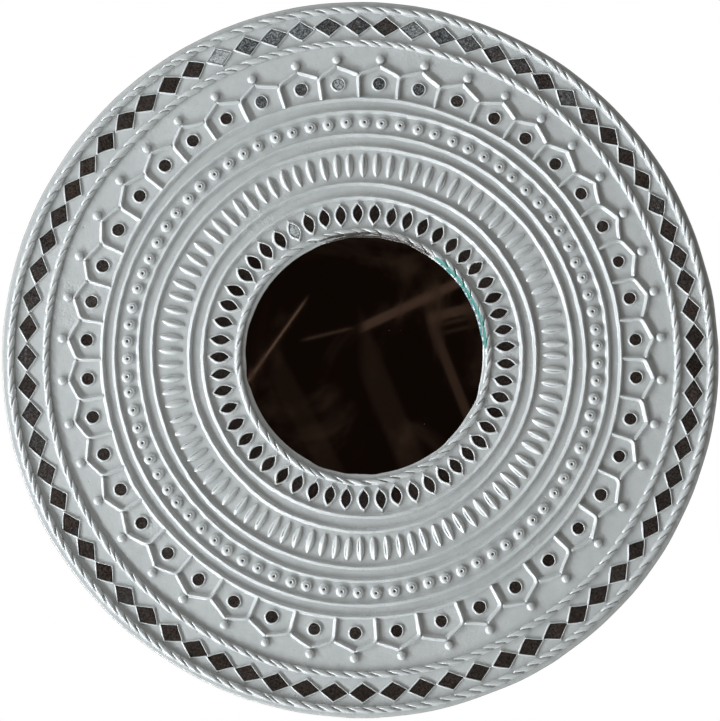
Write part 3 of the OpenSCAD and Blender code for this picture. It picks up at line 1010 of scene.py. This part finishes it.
@dataclass
class SeedPetals:
    """Spindles of clay laid side by side, each split lengthwise by a crease off its middle."""

    spacing: Spacing
    width: float = 6.8 * MM
    sunk: float = 0.25 * MM

    def surface(self) -> Surface:
        """Along a petal, with s from -1 to 1, its half width is (1 - s squared) to the 0.62. Across it, with
        x from -1 to 1, its height is that to the 0.7 times (1 - x squared) to the 0.6, less a narrow bell
        for the crease, which fades at the tips, and less a step down beyond it.

        Returns:
            All the petals.
        """
        band = Band.of("seed_petals")
        count = self.spacing.count
        own = (count, 1, 1)
        draw = np.random.default_rng(17)
        s = -np.cos(np.linspace(0, math.pi, 19))[None, :, None]
        x = np.cos(np.linspace(math.pi, 0, 12))[None, None, :]
        size = draw.normal(1, 0.045, own).clip(0.9, 1.08)
        span = (band.width / 2 - 0.4 * MM) * draw.normal(0.985, 0.02, own).clip(0.93, 1.0)
        slim = (1 - s ** 2).clip(0) ** 0.62
        dome = (1 - x ** 2).clip(0) ** 0.6
        split = draw.normal(0.38, 0.07, own) + 0.10 * s
        crease = np.exp(-((x - split) / 0.14) ** 2) * (slim ** 0.5) * draw.uniform(0.34, 0.50, own)
        beyond = np.where(x > split, 0.17, 0.0)
        level = FACE - self.sunk + band.height * 0.97 * slim ** 0.7 * dome * (1 - crease - beyond)
        bow = draw.normal(0, 0.35 * MM, own) * (1 - s ** 2)
        lean = draw.normal(0, 0.030, own)
        side = -x * self.width / 2 * slim * size + bow + lean * s * span
        angle = self.spacing.angles()[:, None, None]
        along = band.middle + s * span + draw.normal(0, 0.25 * MM, own)
        points = np.stack(np.broadcast_arrays(*rotated(along, side, angle), level), axis=-1)
        under = points[:, :, [-1, 0], :] - np.array([0, 0, 0.5 * MM])
        points = np.concatenate([points, under], axis=2)[:, :, ::-1]
        # Painted shade in the crease and towards the petal's edges.
        hollow = np.broadcast_to(crease * 1.5 + 0.25 * (1 - dome) ** 2, level.shape)
        hollow = np.concatenate([hollow, hollow[:, :, [-1, 0]]], axis=2)[:, :, ::-1]
        return Surface(points, round_columns=True, marks={"hollow": hollow})

    def build(self) -> None:
        """Makes the petals."""
        make_piece("petals", [self.surface()], CLAY, ["seed_petals"], crease=80)


@dataclass
class PrickedDots:
    """Flattened clay balls, each pressed with a ring groove round a pin prick."""

    spacing: Spacing
    groove_at: float = 0.56
    """Where the ring groove lies, as a share of the radius."""
    filled_at: float = 215.0
    """Side from which clay was pushed into it, in degrees."""
    prick: float = 1.0 * MM
    prick_share: float = 0.66
    """How much of the height the prick takes."""
    ovalness: float = 0.03
    steps: int = 20

    def surface(self) -> Surface:
        """From the foot to the middle, the height is a round dome, less a narrow bell for the ring groove and
        a steep one for the prick. The groove is filled by (1 + cos) / 2 of the angle from its filled side.

        Returns:
            All the dots.
        """
        band = Band.of("clay_dots")
        count = self.spacing.count
        draw = np.random.default_rng(23)
        share = np.array([1.02, 1.0, 0.96, 0.88, 0.78, 0.70, 0.63, 0.56, 0.50, 0.43, 0.36, 0.28, 0.21, 0.15,
                          0.08, 0.0])[None, :]
        half = band.width / 2 * draw.normal(1.05, 0.03, (count, 1)).clip(0.97, 1.07)
        cut = draw.uniform(0.14, 0.24, (count, 1)) * np.exp(-((share - self.groove_at) / 0.075) ** 2)
        pierced = np.exp(-(share * half / self.prick) ** 4)
        dome = (1 - share.clip(0, 1) ** 3.0) ** 0.5
        tall = band.height * draw.normal(0.98, 0.03, (count, 1)).clip(0.88, 1.0)
        level = FACE + tall * (dome - cut - self.prick_share * pierced)
        level = level - (share >= 1) * SUNK - (share > 1) * SUNK
        angle = self.spacing.angles()
        reach = band.middle + draw.normal(0, 0.35 * MM, count)
        middle = on_panel(reach, angle, FACE)[:, :2]
        made = turned(middle, share * half, level, self.steps)
        filled = 0.5 + 0.5 * np.cos(closed_steps(self.steps)[None, :, None] - math.radians(self.filled_at))
        made.points[..., 2] += (tall * cut)[:, None, :] * filled
        # Painted shade in the ring groove, the prick and round the foot.
        hollow = cut * 1.4 + 2.0 * pierced + 0.3 * (share > 0.95)
        made.marks["hollow"] = np.broadcast_to(hollow[:, None, :], made.points.shape[:3])
        oval = 2 * closed_steps(self.steps)[None, :] + draw.uniform(0, TURN, (count, 1))
        wobble = 1 + self.ovalness * np.cos(oval)
        centre = middle[:, None, None, :]
        bent = (made.points[..., :2] - centre) * wobble[..., None, None]
        made.points[..., :2] = centre + bent / (1 + self.ovalness)
        return made

    def build(self) -> None:
        """Makes the dots."""
        make_piece("pricked_dots", [self.surface()], CLAY, ["clay_dots"], crease=80)


@dataclass
class HouseCells:
    """The ring of house-shaped cells: each wall bends over into a roof slope, and a second slope leans on
    it."""

    spacing: Spacing
    width: float = 3.9 * MM
    steps: int = 34
    tip_share: float = 1 / 15
    """Share of its length over which a coil rounds off at a tip."""
    foot_in: float = 0.9 * MM
    """How far inside the base coil's middle a wall starts."""
    bent_past: float = 1.1 * MM
    """How far a bent coil runs past the roof's point."""
    lean_past: float = 0.9 * MM
    """How far a leaning coil does."""

    def carried(self, corners: Array, seed: int, soft: int) -> Surface:
        """Carries the coil's section along paths. Each path runs evenly along straight lines between its
        corners, and is then smoothed by a running mean; the section shrinks to a round end at both tips.

        Args:
            corners: Corners of the paths, as (batch, corners, 2).
            seed: Seed of the hand's slips.
            soft: Half width of the running mean, in steps.

        Returns:
            The coils.
        """
        band = Band.of("cell_roofs")
        batch = corners.shape[0]
        draw = np.random.default_rng(seed)
        legs = np.linalg.norm(np.diff(corners, axis=1), axis=2)
        way = np.concatenate([np.zeros((batch, 1)), np.cumsum(legs, axis=1)], axis=1)
        way = way / way[:, -1:]
        wanted = np.linspace(0, 1, self.steps)
        leg = (wanted[None, :, None] >= way[:, None, 1:-1]).sum(axis=2)
        start = np.take_along_axis(way, leg, axis=1)
        stop = np.take_along_axis(way, leg + 1, axis=1)
        share = ((wanted[None, :] - start) / (stop - start))[..., None]
        first = np.take_along_axis(corners, leg[..., None], axis=1)
        second = np.take_along_axis(corners, leg[..., None] + 1, axis=1)
        path = first + (second - first) * share
        padded = np.pad(path, ((0, 0), (soft, soft), (0, 0)), mode="edge")
        total = np.cumsum(np.concatenate([np.zeros((batch, 1, 2)), padded], axis=1), axis=1)
        smooth = (total[:, 2 * soft + 1:] - total[:, :-2 * soft - 1]) / (2 * soft + 1)
        ends = np.clip(np.minimum(wanted, 1 - wanted) * self.steps / soft, 0, 1)[None, :, None]
        path = path * (1 - ends) + smooth * ends
        bow = draw.normal(0, 0.35 * MM, (batch, 1, 1)) * np.sin(math.pi * wanted)[None, :, None]
        ahead = np.gradient(path, axis=1)
        ahead = ahead / np.linalg.norm(ahead, axis=2, keepdims=True)
        left = np.stack([-ahead[..., 1], ahead[..., 0]], axis=-1)
        path = path + left * bow
        tip = np.clip(np.minimum(wanted, 1 - wanted) / self.tip_share, 0, 1)
        tip = np.sqrt(1 - (1 - tip) ** 2)[None, :, None]
        across, rise, under = coil_section(13)
        wide = self.width / 2 * draw.normal(1, 0.05, (batch, 1, 1)) * (0.25 + 0.75 * tip)
        high = band.height * draw.normal(0.94, 0.03, (batch, 1, 1)).clip(0.85, 0.99) * tip
        side = path[:, :, None, :] + left[:, :, None, :] * (wide * across)[..., None]
        level = FACE - SUNK + (high + SUNK) * rise - under
        points = np.concatenate([side, np.broadcast_to(level, side.shape[:3])[..., None]], axis=-1)
        return Surface(points, round_columns=True)

    def beyond(self, start: Array, end: Array, extra: float) -> Array:
        """The places that lie past the ends of straight lines, so that two coils meet without a notch."""
        return end + extra * (end - start) / np.linalg.norm(end - start, axis=1)[:, None]

    def build(self) -> None:
        """Makes the walls with their slopes, the leaning slopes, and the balls outside the points."""
        base, roofs, walls = Band.of("cell_base_coil"), Band.of("cell_roofs"), Band.of("cell_walls")
        balls = Band.of("tip_balls")
        angle = self.spacing.angles()
        ahead = np.roll(angle, -1) + (np.roll(angle, -1) < angle) * TURN
        wall = (angle + ahead) / 2
        behind = np.roll(wall, 1)
        draw = np.random.default_rng(31)
        shoulder = walls.outer - self.width / 2 + draw.normal(0, 0.4 * MM, angle.size)
        peak = roofs.outer - self.width / 2 - np.abs(draw.normal(0, 0.3 * MM, angle.size))
        foot_at = on_panel(base.middle - self.foot_in, wall, FACE)[:, :2]
        shoulder_at = on_panel(shoulder, wall, FACE)[:, :2]
        peak_at = on_panel(peak, angle, FACE)[:, :2]
        lean_at = on_panel(np.roll(shoulder, 1) + 0.3 * MM, behind, FACE)[:, :2]
        past_bent = self.beyond(shoulder_at, peak_at, self.bent_past)
        past_lean = self.beyond(lean_at, peak_at, self.lean_past)
        bent = self.carried(np.stack([foot_at, shoulder_at, past_bent], axis=1), 41, 3)
        leaning = self.carried(np.stack([past_lean, (past_lean + lean_at) / 2, lean_at], axis=1), 43, 1)
        make_piece("cell_walls_and_slopes", [bent], CLAY, ["cell_walls"], crease=75)
        make_piece("cell_leaning_slopes", [leaning], CLAY, ["cell_roofs"], crease=75)
        bend = np.radians(np.array([-14, 0, 12, 25, 38, 52, 66, 79, 90.0]))[None, :]
        size = balls.width / 2 * draw.normal(1.04, 0.02, (angle.size, 1)).clip(1.0, 1.08)
        above = balls.height - balls.width / 2
        slip = angle + np.radians(draw.normal(0, 0.25, angle.size))
        middle = on_panel(balls.middle - 0.3 * MM, slip, FACE)[:, :2]
        ball = turned(middle, size * np.cos(bend), FACE + above + 0.72 * size * np.sin(bend), 18)
        make_piece("tip_balls_of_clay", [ball], CLAY, ["tip_balls"], crease=80)


class ChipShape(Enum):
    """Outline of a chip: the powers of cosine and sine that bend a circle into it, out from the middle and
    along the ring, and how much further its tips move out than its sides when it is grown."""

    EYE = (1.0, 2.0, 1.40, 1.0)
    ROUND = (1.0, 1.0, 1.0, 1.0)
    DIAMOND = (1.95, 1.95, 1.10, 1.40)


class Oddity(Enum):
    """What is unusual about a chip, as its tone and the share of dried paint on it, in place of its painted
    reflection.
    """

    PAINTED = (1.0, 0.95)
    STREAKED = (0.80, 0.55)


@dataclass
class ChipRing:
    """One ring of mirror chips, each set in a raised bead of clay."""

    name: str
    node: str
    shape: ChipShape
    spacing: Spacing
    half_across: float
    seed: int
    painted_reflections: Sequence[tuple[float, float, float]]
    # Places round the ring in degrees, each with the tone of its painted reflection and the share in which it
    # shows.
    """Places round the ring in degrees, each with its tint and its veil."""
    bead: float = 1.0
    """Width of the bead, as a share of its full size."""
    crest: float = 1.0
    """Height of the bead, as a share of its full size."""
    outset: float = 0.0
    face_rise: float = 1.25 * MM
    plate_steps: int = 32
    bead_steps: int = 40
    mixed: float = 0.07
    # How much chips beside each other differ in the tone and share of their painted reflection.
    """How much chips beside each other differ in tint and veil."""
    oddities: Mapping[float, Oddity] = field(default_factory=dict)

    def outlines(self, grow: Array, steps: int) -> Array:
        """The chips' outlines: a point at t has the cosine and the sine of t, each raised to the shape's
        power with its sign kept, times the half sizes, with a small ripple of each chip's own.

        Args:
            grow: How far each column lies outside the chip's edge, as (columns,) or (batch, steps, columns).
            steps: Points round a chip.

        Returns:
            Offsets out from the middle and along the ring, as (batch, steps, columns, 2).
        """
        band = Band.of(self.node)
        power_out, power_along, tip_out, tip_along = self.shape.value
        t = closed_steps(steps)[None, :, None]
        draw = np.random.default_rng(self.seed)
        count = self.spacing.count
        ripple = 1 + waves(draw, count, t, {2: 0.010, 3: 0.014, 5: 0.010})
        size = draw.normal(0.985, 0.03, (count, 2, 1, 1)).clip(0.92, 1.02)
        out = np.sign(np.cos(t)) * np.abs(np.cos(t)) ** power_out
        along = np.sign(np.sin(t)) * np.abs(np.sin(t)) ** power_along
        half_out = band.width / 2 * size[:, 0] + grow * tip_out
        half_along = self.half_across * size[:, 1] + grow * tip_along
        return np.stack([half_out * out * ripple, half_along * along * ripple], axis=-1)

    def placed(self, offsets: Array, level: Array) -> Array:
        """Turns and moves the chips' own offsets to their places.

        Args:
            offsets: Offsets as outlines() gives them.
            level: Levels out from the wall, as (batch, steps, columns).

        Returns:
            Places on the panel's axes.
        """
        draw = np.random.default_rng(self.seed + 7)
        count = self.spacing.count
        lean = draw.normal(0, 0.035, (count, 1, 1))
        out, along = rotated(offsets[..., 0], offsets[..., 1], lean)
        angle = self.spacing.angles()[:, None, None]
        out = out + Band.of(self.node).middle + draw.normal(0, 0.3 * MM, (count, 1, 1))
        return np.stack(np.broadcast_arrays(*rotated(out, along, angle), level), axis=-1)

    def plates(self) -> Surface:
        """The glass: its edge comes up from the ground, and its flat face tilts a little with each chip.

        Returns:
            All the plates, with their marks of painted reflection tone and share, and their border mark.
        """
        count = self.spacing.count
        shrink = np.array([1, 1, 0.97, 0.7, 0.35, 0.0])[None, None, :, None]
        flat = self.outlines(np.zeros((1, 1, 1)), self.plate_steps) * shrink
        draw = np.random.default_rng(self.seed + 3)
        tilt = draw.normal(0, TILT, (count, 1, 1, 2))
        level = FACE + self.face_rise + (flat * tilt).sum(axis=-1)
        level[:, :, 0] = FACE - SUNK
        level[:, :, 1] -= 0.1 * MM
        angle = np.degrees(self.spacing.angles()) % 360
        # Tone and share of the painted reflection, read round the ring.
        at, tint, veil = (np.array(column) for column in zip(*self.painted_reflections))
        tint = np.interp(angle, at, tint) + draw.normal(0, self.mixed, count)
        veil = np.interp(angle, at, veil) + draw.normal(0, self.mixed, count)
        for degrees, odd in self.oddities.items():
            nearest = np.argmin(np.abs((angle - degrees + 180) % 360 - 180))
            tint[nearest], veil[nearest] = odd.value
        grid = np.ones(flat.shape[:3])
        border = np.array([1, 1, 0.85, 0.1, 0, 0]) * grid
        return Surface(self.placed(flat, level), round_rows=True,
                       marks={"tint": tint[:, None, None] * grid, "veil": veil[:, None, None] * grid,
                              "border": border})

    def beads(self) -> Surface:
        """The clay bead: its section rises from a soft foot outside the chip to a crest just above the glass
        and drops to the glass inside the edge; crest and foot vary round each chip.

        Returns:
            All the beads.
        """
        draw = np.random.default_rng(self.seed + 5)
        reach = np.array([2.5, 2.3, 1.75, 1.25, 0.9, 0.55, 0.2, -0.1, -0.28, -0.28]) * MM * self.bead
        rise = np.array([-0.5, 0.0, 0.38, 1.05, 1.70, 1.98, 1.92, 1.62, 1.05, -0.4]) * MM
        t = closed_steps(self.bead_steps)[None, :, None]
        hand = waves(draw, self.spacing.count, t, dict.fromkeys((1, 2, 3, 5, 7), 0.055))
        grow = reach[None, None, :] * (1 + hand * 1.2) + self.outset
        rise = np.where(rise > 0, rise * (0.96 + hand) * self.crest, rise)
        offsets = self.outlines(grow, self.bead_steps)
        level = FACE + rise
        # Painted shade at the bead's outer foot and where it meets the glass.
        hollow = np.zeros(level.shape) + np.array([0.3, 0.3, 0.1, 0, 0, 0, 0, 0.1, 0.5, 0.8])
        return Surface(self.placed(offsets, level), round_rows=True, round_columns=True,
                       marks={"hollow": hollow})

    def build(self) -> None:
        """Makes the chips and their beads."""
        make_piece(self.name, [self.plates()], CHIPS, [self.node], crease=30)
        make_piece(self.name + "_beads", [self.beads()], CLAY, crease=75)


@dataclass
class Back:
    """The board with its eased edges, the felt pads, and the nodes carried over from the CAD."""

    ease: float = 1.2 * MM
    paint_in: float = 12 * MM
    """How far in from the edge the paint's mark starts to rise."""
    paint_fade: float = 9 * MM
    """Over what distance it rises to 1."""
    paint_run: Wander = Wander(61, 3.5 * MM, 3, 45)
    outer_pads: int = 4
    """Pads that stand round the one in the middle."""
    pad_size: float = 22 * MM
    steps: int = 360

    def board(self) -> Surface:
        """The board as one profile turned about the middle: the front's rounded edge, the side, and the
        back's rounded edge, with paint on the side and a little way in on the back.

        Returns:
            The board.
        """
        band = Band.of("backing_board")
        bend = quarter(22.5)
        radius = band.outer - 0.4 * MM
        inward = radius - self.ease
        shares = np.array([0.97, 0.93, 0.85, 0.6, 0.3, 0.0])
        back_r = np.concatenate([inward * shares[::-1], inward + self.ease * np.sin(bend)])
        back_h = np.concatenate([np.full(6, band.foot), band.foot + self.ease * (1 - np.cos(bend))])
        front_r = np.concatenate([inward + self.ease * np.cos(bend), inward * shares])
        front_h = np.concatenate([band.top - self.ease * (1 - np.sin(bend)), np.full(6, band.top)])
        reach = np.concatenate([back_r, front_r])[None, :]
        level = np.concatenate([back_h, front_h])[None, :]
        made = turned(np.zeros((1, 2)), reach, level, self.steps)
        wide = np.hypot(made.points[..., 0], made.points[..., 1])
        run = self.paint_run.at(np.arctan2(made.points[..., 1], made.points[..., 0]))
        made.marks["painted"] = np.clip((wide + run - (radius - self.paint_in)) / self.paint_fade, 0, 1)
        return made

    def pads(self) -> Surface:
        """The pads: low drums with soft edges.

        Returns:
            All the pads.
        """
        band = Band.of("felt_pads")
        half = self.pad_size / 2
        ring = band.outer - half
        angle = closed_steps(self.outer_pads) + math.radians(45)
        middle = np.concatenate([np.zeros((1, 2)), on_panel(ring, angle, band.foot)[:, :2]])
        reach = np.array([0, 0.5, 0.85, 0.95, 0.99, 1, 1, 0.99, 0.95, 0.85, 0.5, 0]) * half
        level = np.array([0, 0, 0, 0.02, 0.09, 0.2, 0.85, 0.93, 1, 1, 1, 1]) * band.height + band.foot
        return turned(middle, np.tile(reach, (len(middle), 1)), np.tile(level, (len(middle), 1)), 40)

    def build(self) -> None:
        """Makes the board and the pads, and dresses the nodes that stay."""
        make_piece("board", [self.board()], BOARD, ["backing_board"], crease=60)
        make_piece("pads", [self.pads()], FELT, ["felt_pads"], crease=60)
        GLASS.wear("centre_mirror")
        GLUE.wear("mirror_adhesive")
        for strap in ("left_strap", "right_strap"):
            STRAP_STEEL.wear(strap)
        for ring in ("left_ring", "right_ring"):
            RING_STEEL.wear(ring)
        SCREW_STEEL.wear("hanger_screws")


@dataclass(frozen=True)
class Beam:
    """A straight beam or stick of the room, as the mirror shows it, placed by angles from straight ahead."""

    across: tuple[float, float]
    """The line's normal, to the right and up."""
    at: float
    """The line's distance from straight ahead."""
    half: float
    """Half of its width."""
    start: float
    """How far to the right it starts."""
    stop: float
    """How far to the right it stops."""
    strength: float
    """How bright it is."""

    def share(self, bench: Bench, way: Signal) -> Signal:
        """It is bright where the way's distance from the line, measured across it, is under half its width,
        and only from its start to its stop.

        Args:
            bench: The world's node tree.
            way: The way looked in.

        Returns:
            The beam's share.
        """
        right_part, up_part = self.across
        far = bench.math("ABSOLUTE", bench.along(way, (right_part, 0, up_part)) - self.at, 0.0)
        right = bench.along(way, (1, 0, 0))
        soft = 0.006
        reach = right.step(self.start, self.start + soft) * (1 - right.step(self.stop - soft, self.stop))
        return (1 - far.step(self.half * 0.7, self.half * 1.3)) * reach * self.strength


RAFTERS = (-0.236, 0.970)
"""Normal of the beams that lie side by side."""


@dataclass
class Studio:
    """Pale floor that fades out far off, a long lamp low on the left, a weak fill above it, one lamp behind,
    the room that the mirror shows, and the camera."""

    floor_level: float = -6.2
    floor_half: float = 14.0
    floor_steps: int = 9
    floor_fade: tuple[float, float] = (7.0, 13.0)
    """How far off the floor starts and ends its fade to the background."""
    floor_dull: Colour = (0.80, 0.80, 0.79)
    floor_pale: Colour = (0.84, 0.84, 0.83)
    lamp_way: Vector = field(default_factory=lambda: Vector((-0.7538, -0.4384, -0.4895)))
    lamp_distance: float = 4.2
    lamp_long: float = 8.0
    lamp_size: float = 0.6
    lamp_watts: float = 408.0
    lamp_tone: Colour = (0.985, 1.0, 1.03)
    fill_at: Vector = field(default_factory=lambda: Vector((-0.753, -0.771, 0.527)))
    fill_size: float = 0.5
    fill_watts: float = 3.2
    back_at: Vector = field(default_factory=lambda: Vector((0.9, 2.6, 1.4)))
    back_size: float = 1.2
    back_watts: float = 70.0
    room_light: float = 0.195
    room_tone: Colour = (1.03, 0.99, 0.92)
    dark_patch: tuple[float, float] = (0.60, 0.90)
    """Cosines of the angles from straight ahead at which the mirror's dark room ends and is full."""
    camera_at: Vector = field(default_factory=lambda: Vector((-0.0865, -1.780, -0.1115)))
    camera_aim: Vector = field(default_factory=lambda: Vector((-0.0028, -0.024, -0.0036)))
    half_view: float = 0.17063
    """Half of the view's width over its distance."""
    around_tone: Colour = (0.55, 0.55, 0.55)
    """What reflections show beyond the dark patch."""
    dark_tone: Colour = (0.036, 0.020, 0.013)
    beam_tone: Colour = (1.30, 0.86, 0.62)
    beams: Sequence[Beam] = (
        Beam((-0.42, 0.907), 0.0494, 0.0021, 0.046, 0.2, 0.26),
        Beam((0.930, 0.3675), 0.1045, 0.0021, 0.0765, 0.2, 0.15),
        Beam(RAFTERS, 0.0599, 0.0022, 0.078, 0.2, 0.20),
        Beam((0.815, -0.580), -0.0344, 0.0004, -0.05, 0.024, 0.8),
        Beam(RAFTERS, 0.0640, 0.0006, 0.018, 0.046, 0.20),
        Beam((0.920, 0.392), 0.0713, 0.0060, 0.045, 0.2, 0.045),
        Beam((0.879, 0.476), 0.0344, 0.0052, 0.003, 0.2, 0.035),
        Beam(RAFTERS, 0.0556, 0.0008, 0.081, 0.2, 0.10),
        Beam(RAFTERS, 0.0515, 0.0008, 0.083, 0.2, 0.08))
    """Roof beams, and a leaning stick."""

    def floor(self) -> None:
        """Lays the floor: a flat grid that shows pale, keeps a soft shadow and fades out far away."""
        steps = self.floor_steps
        side = np.linspace(-self.floor_half, self.floor_half, steps)
        x, y = np.meshgrid(side, side, indexing="ij")
        place = np.stack([x.ravel(), y.ravel(), np.full(x.size, self.floor_level)], axis=1)
        corner = np.arange(steps - 1)[:, None] * steps + np.arange(steps - 1)[None, :]
        faces = np.stack([corner, corner + steps, corner + steps + 1, corner + 1], axis=-1).reshape(-1, 4)
        mesh = bpy.data.meshes.new("studio_floor")
        mesh.from_pydata(place.tolist(), [], faces.tolist())
        material = bpy.data.materials.new("floor_paint")
        bench = Bench.on(material)
        cloud = bench.noise(bench.place(), 3, 3).step(0.3, 0.7)
        tone = bench.blend(cloud, self.floor_dull, self.floor_pale)
        matt = bench.surface(Base_Color=tone, Roughness=0.9)
        glow = bench.add("ShaderNodeEmission", None, {"Color": (1.0, 1.0, 1.0), "Strength": 1.0})
        away = bench.add("ShaderNodeVectorMath", {"operation": "LENGTH"}, {0: bench.place()}, out=1)
        seen = bench.add("ShaderNodeLightPath", out=0) * (0.72 + away.step(*self.floor_fade) * 0.28)
        both = bench.add("ShaderNodeMixShader", None, {0: seen, 1: matt, 2: glow})
        bench.add("ShaderNodeOutputMaterial", None, {"Surface": both})
        mesh.materials.append(material)
        linked("studio_floor", mesh)

    def lamp(self, name: str, place: Vector, size: float, watts: float, long: float = 0.0) -> None:
        """Hangs a lamp, aimed at the object's middle: round, or long and laid along the panel's plane.

        Args:
            name: The lamp's name.
            place: Where it hangs.
            size: Its diameter, or its width.
            watts: Its power.
            long: Its length, if it is a long one; only that one shows in reflections.
        """
        light = bpy.data.lights.new(name, "AREA")
        light.shape = "RECTANGLE" if long else "DISK"
        light.size = long or size
        if long:
            light.size_y = size
        light.energy = watts
        light.color = self.lamp_tone
        made = linked(name, light)
        made.location = place
        made.rotation_mode = "QUATERNION"
        back = place.normalized()
        beside = back.cross(Vector((0, -1, 0))).normalized()
        made.rotation_quaternion = Matrix((beside, back.cross(beside), back)).transposed().to_quaternion()
        made.visible_camera = False
        made.visible_glossy = bool(long)

    def room(self) -> None:
        """Lights the room: white to the camera, plain warm light on the object, and in reflections mid grey
        all round but for a dark patch straight in front of the panel, with brown beams and soot in it."""
        world = bpy.data.worlds.new("studio_room")
        bpy.context.scene.world = world
        bench = Bench.on(world)
        way = bench.add("ShaderNodeTexCoord", out=0)
        facing, upward = bench.along(way, (0, -1, 0)), bench.along(way, (0, 0, 1))
        camera = bench.add("ShaderNodeLightPath", out=0)
        glossy = bench.add("ShaderNodeLightPath", out=3)
        through = bench.add("ShaderNodeLightPath", out=6)
        soot = bench.noise(way, 21, 5, 0.62, 0.8).step(0.50, 0.74)
        shapes = bench.blend(soot * 0.11 + sum(beam.share(bench, way) for beam in self.beams),
                             self.dark_tone, self.beam_tone)
        mirrored = bench.blend(facing.step(*self.dark_patch), self.around_tone, shapes)
        plain = self.room_light + upward * 0.04
        tint = bench.blend(glossy, self.room_tone, mirrored)
        open_air = bench.math("MAXIMUM", camera, through)
        tint = bench.blend(open_air, tint, (1.0, 1.0, 1.0))
        direct = bench.math("MAXIMUM", open_air, glossy)
        level = direct + (1 - direct) * plain
        shade = bench.add("ShaderNodeBackground", None, {"Color": tint, "Strength": level})
        bench.add("ShaderNodeOutputWorld", None, {"Surface": shade})

    def camera(self) -> None:
        """Sets up the camera where the photograph was taken from."""
        lens = bpy.data.cameras.new("photo_camera")
        lens.sensor_fit = "HORIZONTAL"
        lens.sensor_width = 36.0
        lens.lens = lens.sensor_width / 2 / self.half_view
        made = linked("photo_camera", lens)
        made.location = self.camera_at
        made.rotation_mode = "QUATERNION"
        made.rotation_quaternion = (self.camera_aim - self.camera_at).to_track_quat("-Z", "Y")
        bpy.context.scene.camera = made
        bpy.context.scene.view_settings.view_transform = "Standard"

    def build(self) -> None:
        """Sets up the whole studio."""
        self.floor()
        self.lamp("studio_lamp", self.lamp_way.normalized() * self.lamp_distance, self.lamp_size,
                  self.lamp_watts, self.lamp_long)
        self.lamp("studio_fill", self.fill_at, self.fill_size, self.fill_watts)
        self.lamp("studio_back", self.back_at, self.back_size, self.back_watts)
        self.room()
        self.camera()


def main() -> None:
    """Builds the studio and every piece in order."""
    logging.basicConfig(level=logging.INFO, format="%(name)s: %(message)s")
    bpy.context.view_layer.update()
    Studio().build()
    skin = ClaySkin()
    skin.build()
    ropes = [
        TwistedRope("centre_twist", "centre_rope", marks=55, seed=101, skin=skin),
        TwistedRope("band_twist", "band_rope", marks=137, seed=111, per_mark=12),
        TwistedRope("outer_twist", "outer_rope", marks=143, seed=121, per_mark=12),
    ]
    for rope in ropes:
        rope.build()
    coils = ("eye_inner", "eye_outer", "seed_outer", "dot_inner", "dot_outer", "cell_base")
    for seed, coil in enumerate(coils, start=201):
        RolledCoil(coil + "_ring", coil + "_coil", seed).build()
    SeedPetals(Spacing(90, 3.5, (1.38, 158), (0.72, 53), 0.15, 301)).build()
    PrickedDots(Spacing(84, 3.8, (1.30, 162), (0.38, -41), 0.15, 303)).build()
    cells = Spacing(43, 4.1, (1.91, 39), (0.86, -31), 0.20, 305)
    HouseCells(cells).build()
    eyes = Spacing(53, 2.5, (0.62, -69), (0.41, 76), 0.15, 307)
    diamonds = Spacing(73, 1.8, (0.85, -62), (0.17, -40), 0.10, 309)
    # Painted reflections of the room in the chips: angle in degrees, tone and share.
    eye_painted_reflections = ((0, 0.12, 0.3), (60, 0.14, 0.3), (120, 0.06, 0.3), (200, 0.05, 0.25), (260, 0.20, 0.35),
                 (360, 0.12, 0.3))
    round_painted_reflections = ((0, 0.30, 0.55), (52, 0.32, 0.60), (62, 0.55, 0.80), (77, 0.64, 0.92), (88, 0.70, 0.92),
                   (96, 0.88, 0.92), (104, 0.94, 0.92), (112, 0.72, 0.90), (120, 0.36, 0.60),
                   (160, 0.34, 0.60), (168, 0.48, 0.70), (176, 0.34, 0.60), (240, 0.36, 0.60),
                   (305, 0.16, 0.40), (330, 0.18, 0.45), (360, 0.26, 0.55))
    diamond_painted_reflections = ((0, 0.40, 0.55), (25, 0.46, 0.65), (55, 0.50, 0.7), (75, 0.70, 0.8), (98, 0.70, 0.8),
                     (106, 0.84, 0.9), (114, 0.84, 0.9), (122, 0.34, 0.6), (150, 0.36, 0.60),
                     (180, 0.54, 0.7), (205, 0.46, 0.7), (232, 0.32, 0.6), (262, 0.22, 0.5),
                     (285, 0.20, 0.5), (330, 0.30, 0.5), (360, 0.36, 0.55))
    rings = [
        ChipRing("eye_chips", "eye_mirrors", ChipShape.EYE, eyes, 3.85 * MM, 401, eye_painted_reflections, bead=0.8,
                 outset=0.42 * MM, oddities={119: Oddity.PAINTED}),
        ChipRing("round_chips", "round_mirrors", ChipShape.ROUND, cells, 5.0 * MM, 411, round_painted_reflections,
                 bead=0.6, crest=0.75, outset=0.12 * MM, face_rise=0.95 * MM,
                 oddities={103: Oddity.STREAKED}),
        ChipRing("diamond_chips", "diamond_mirrors", ChipShape.DIAMOND, diamonds, 11.25 * MM, 421,
                 diamond_painted_reflections, bead=0.6, crest=0.75, outset=0.1 * MM, face_rise=0.95 * MM, mixed=0.09,
                 oddities={50: Oddity.STREAKED, 116: Oddity.PAINTED}),
    ]
    for ring in rings:
        ring.build()
    Back().build()


if __name__ == "__main__":
    main()
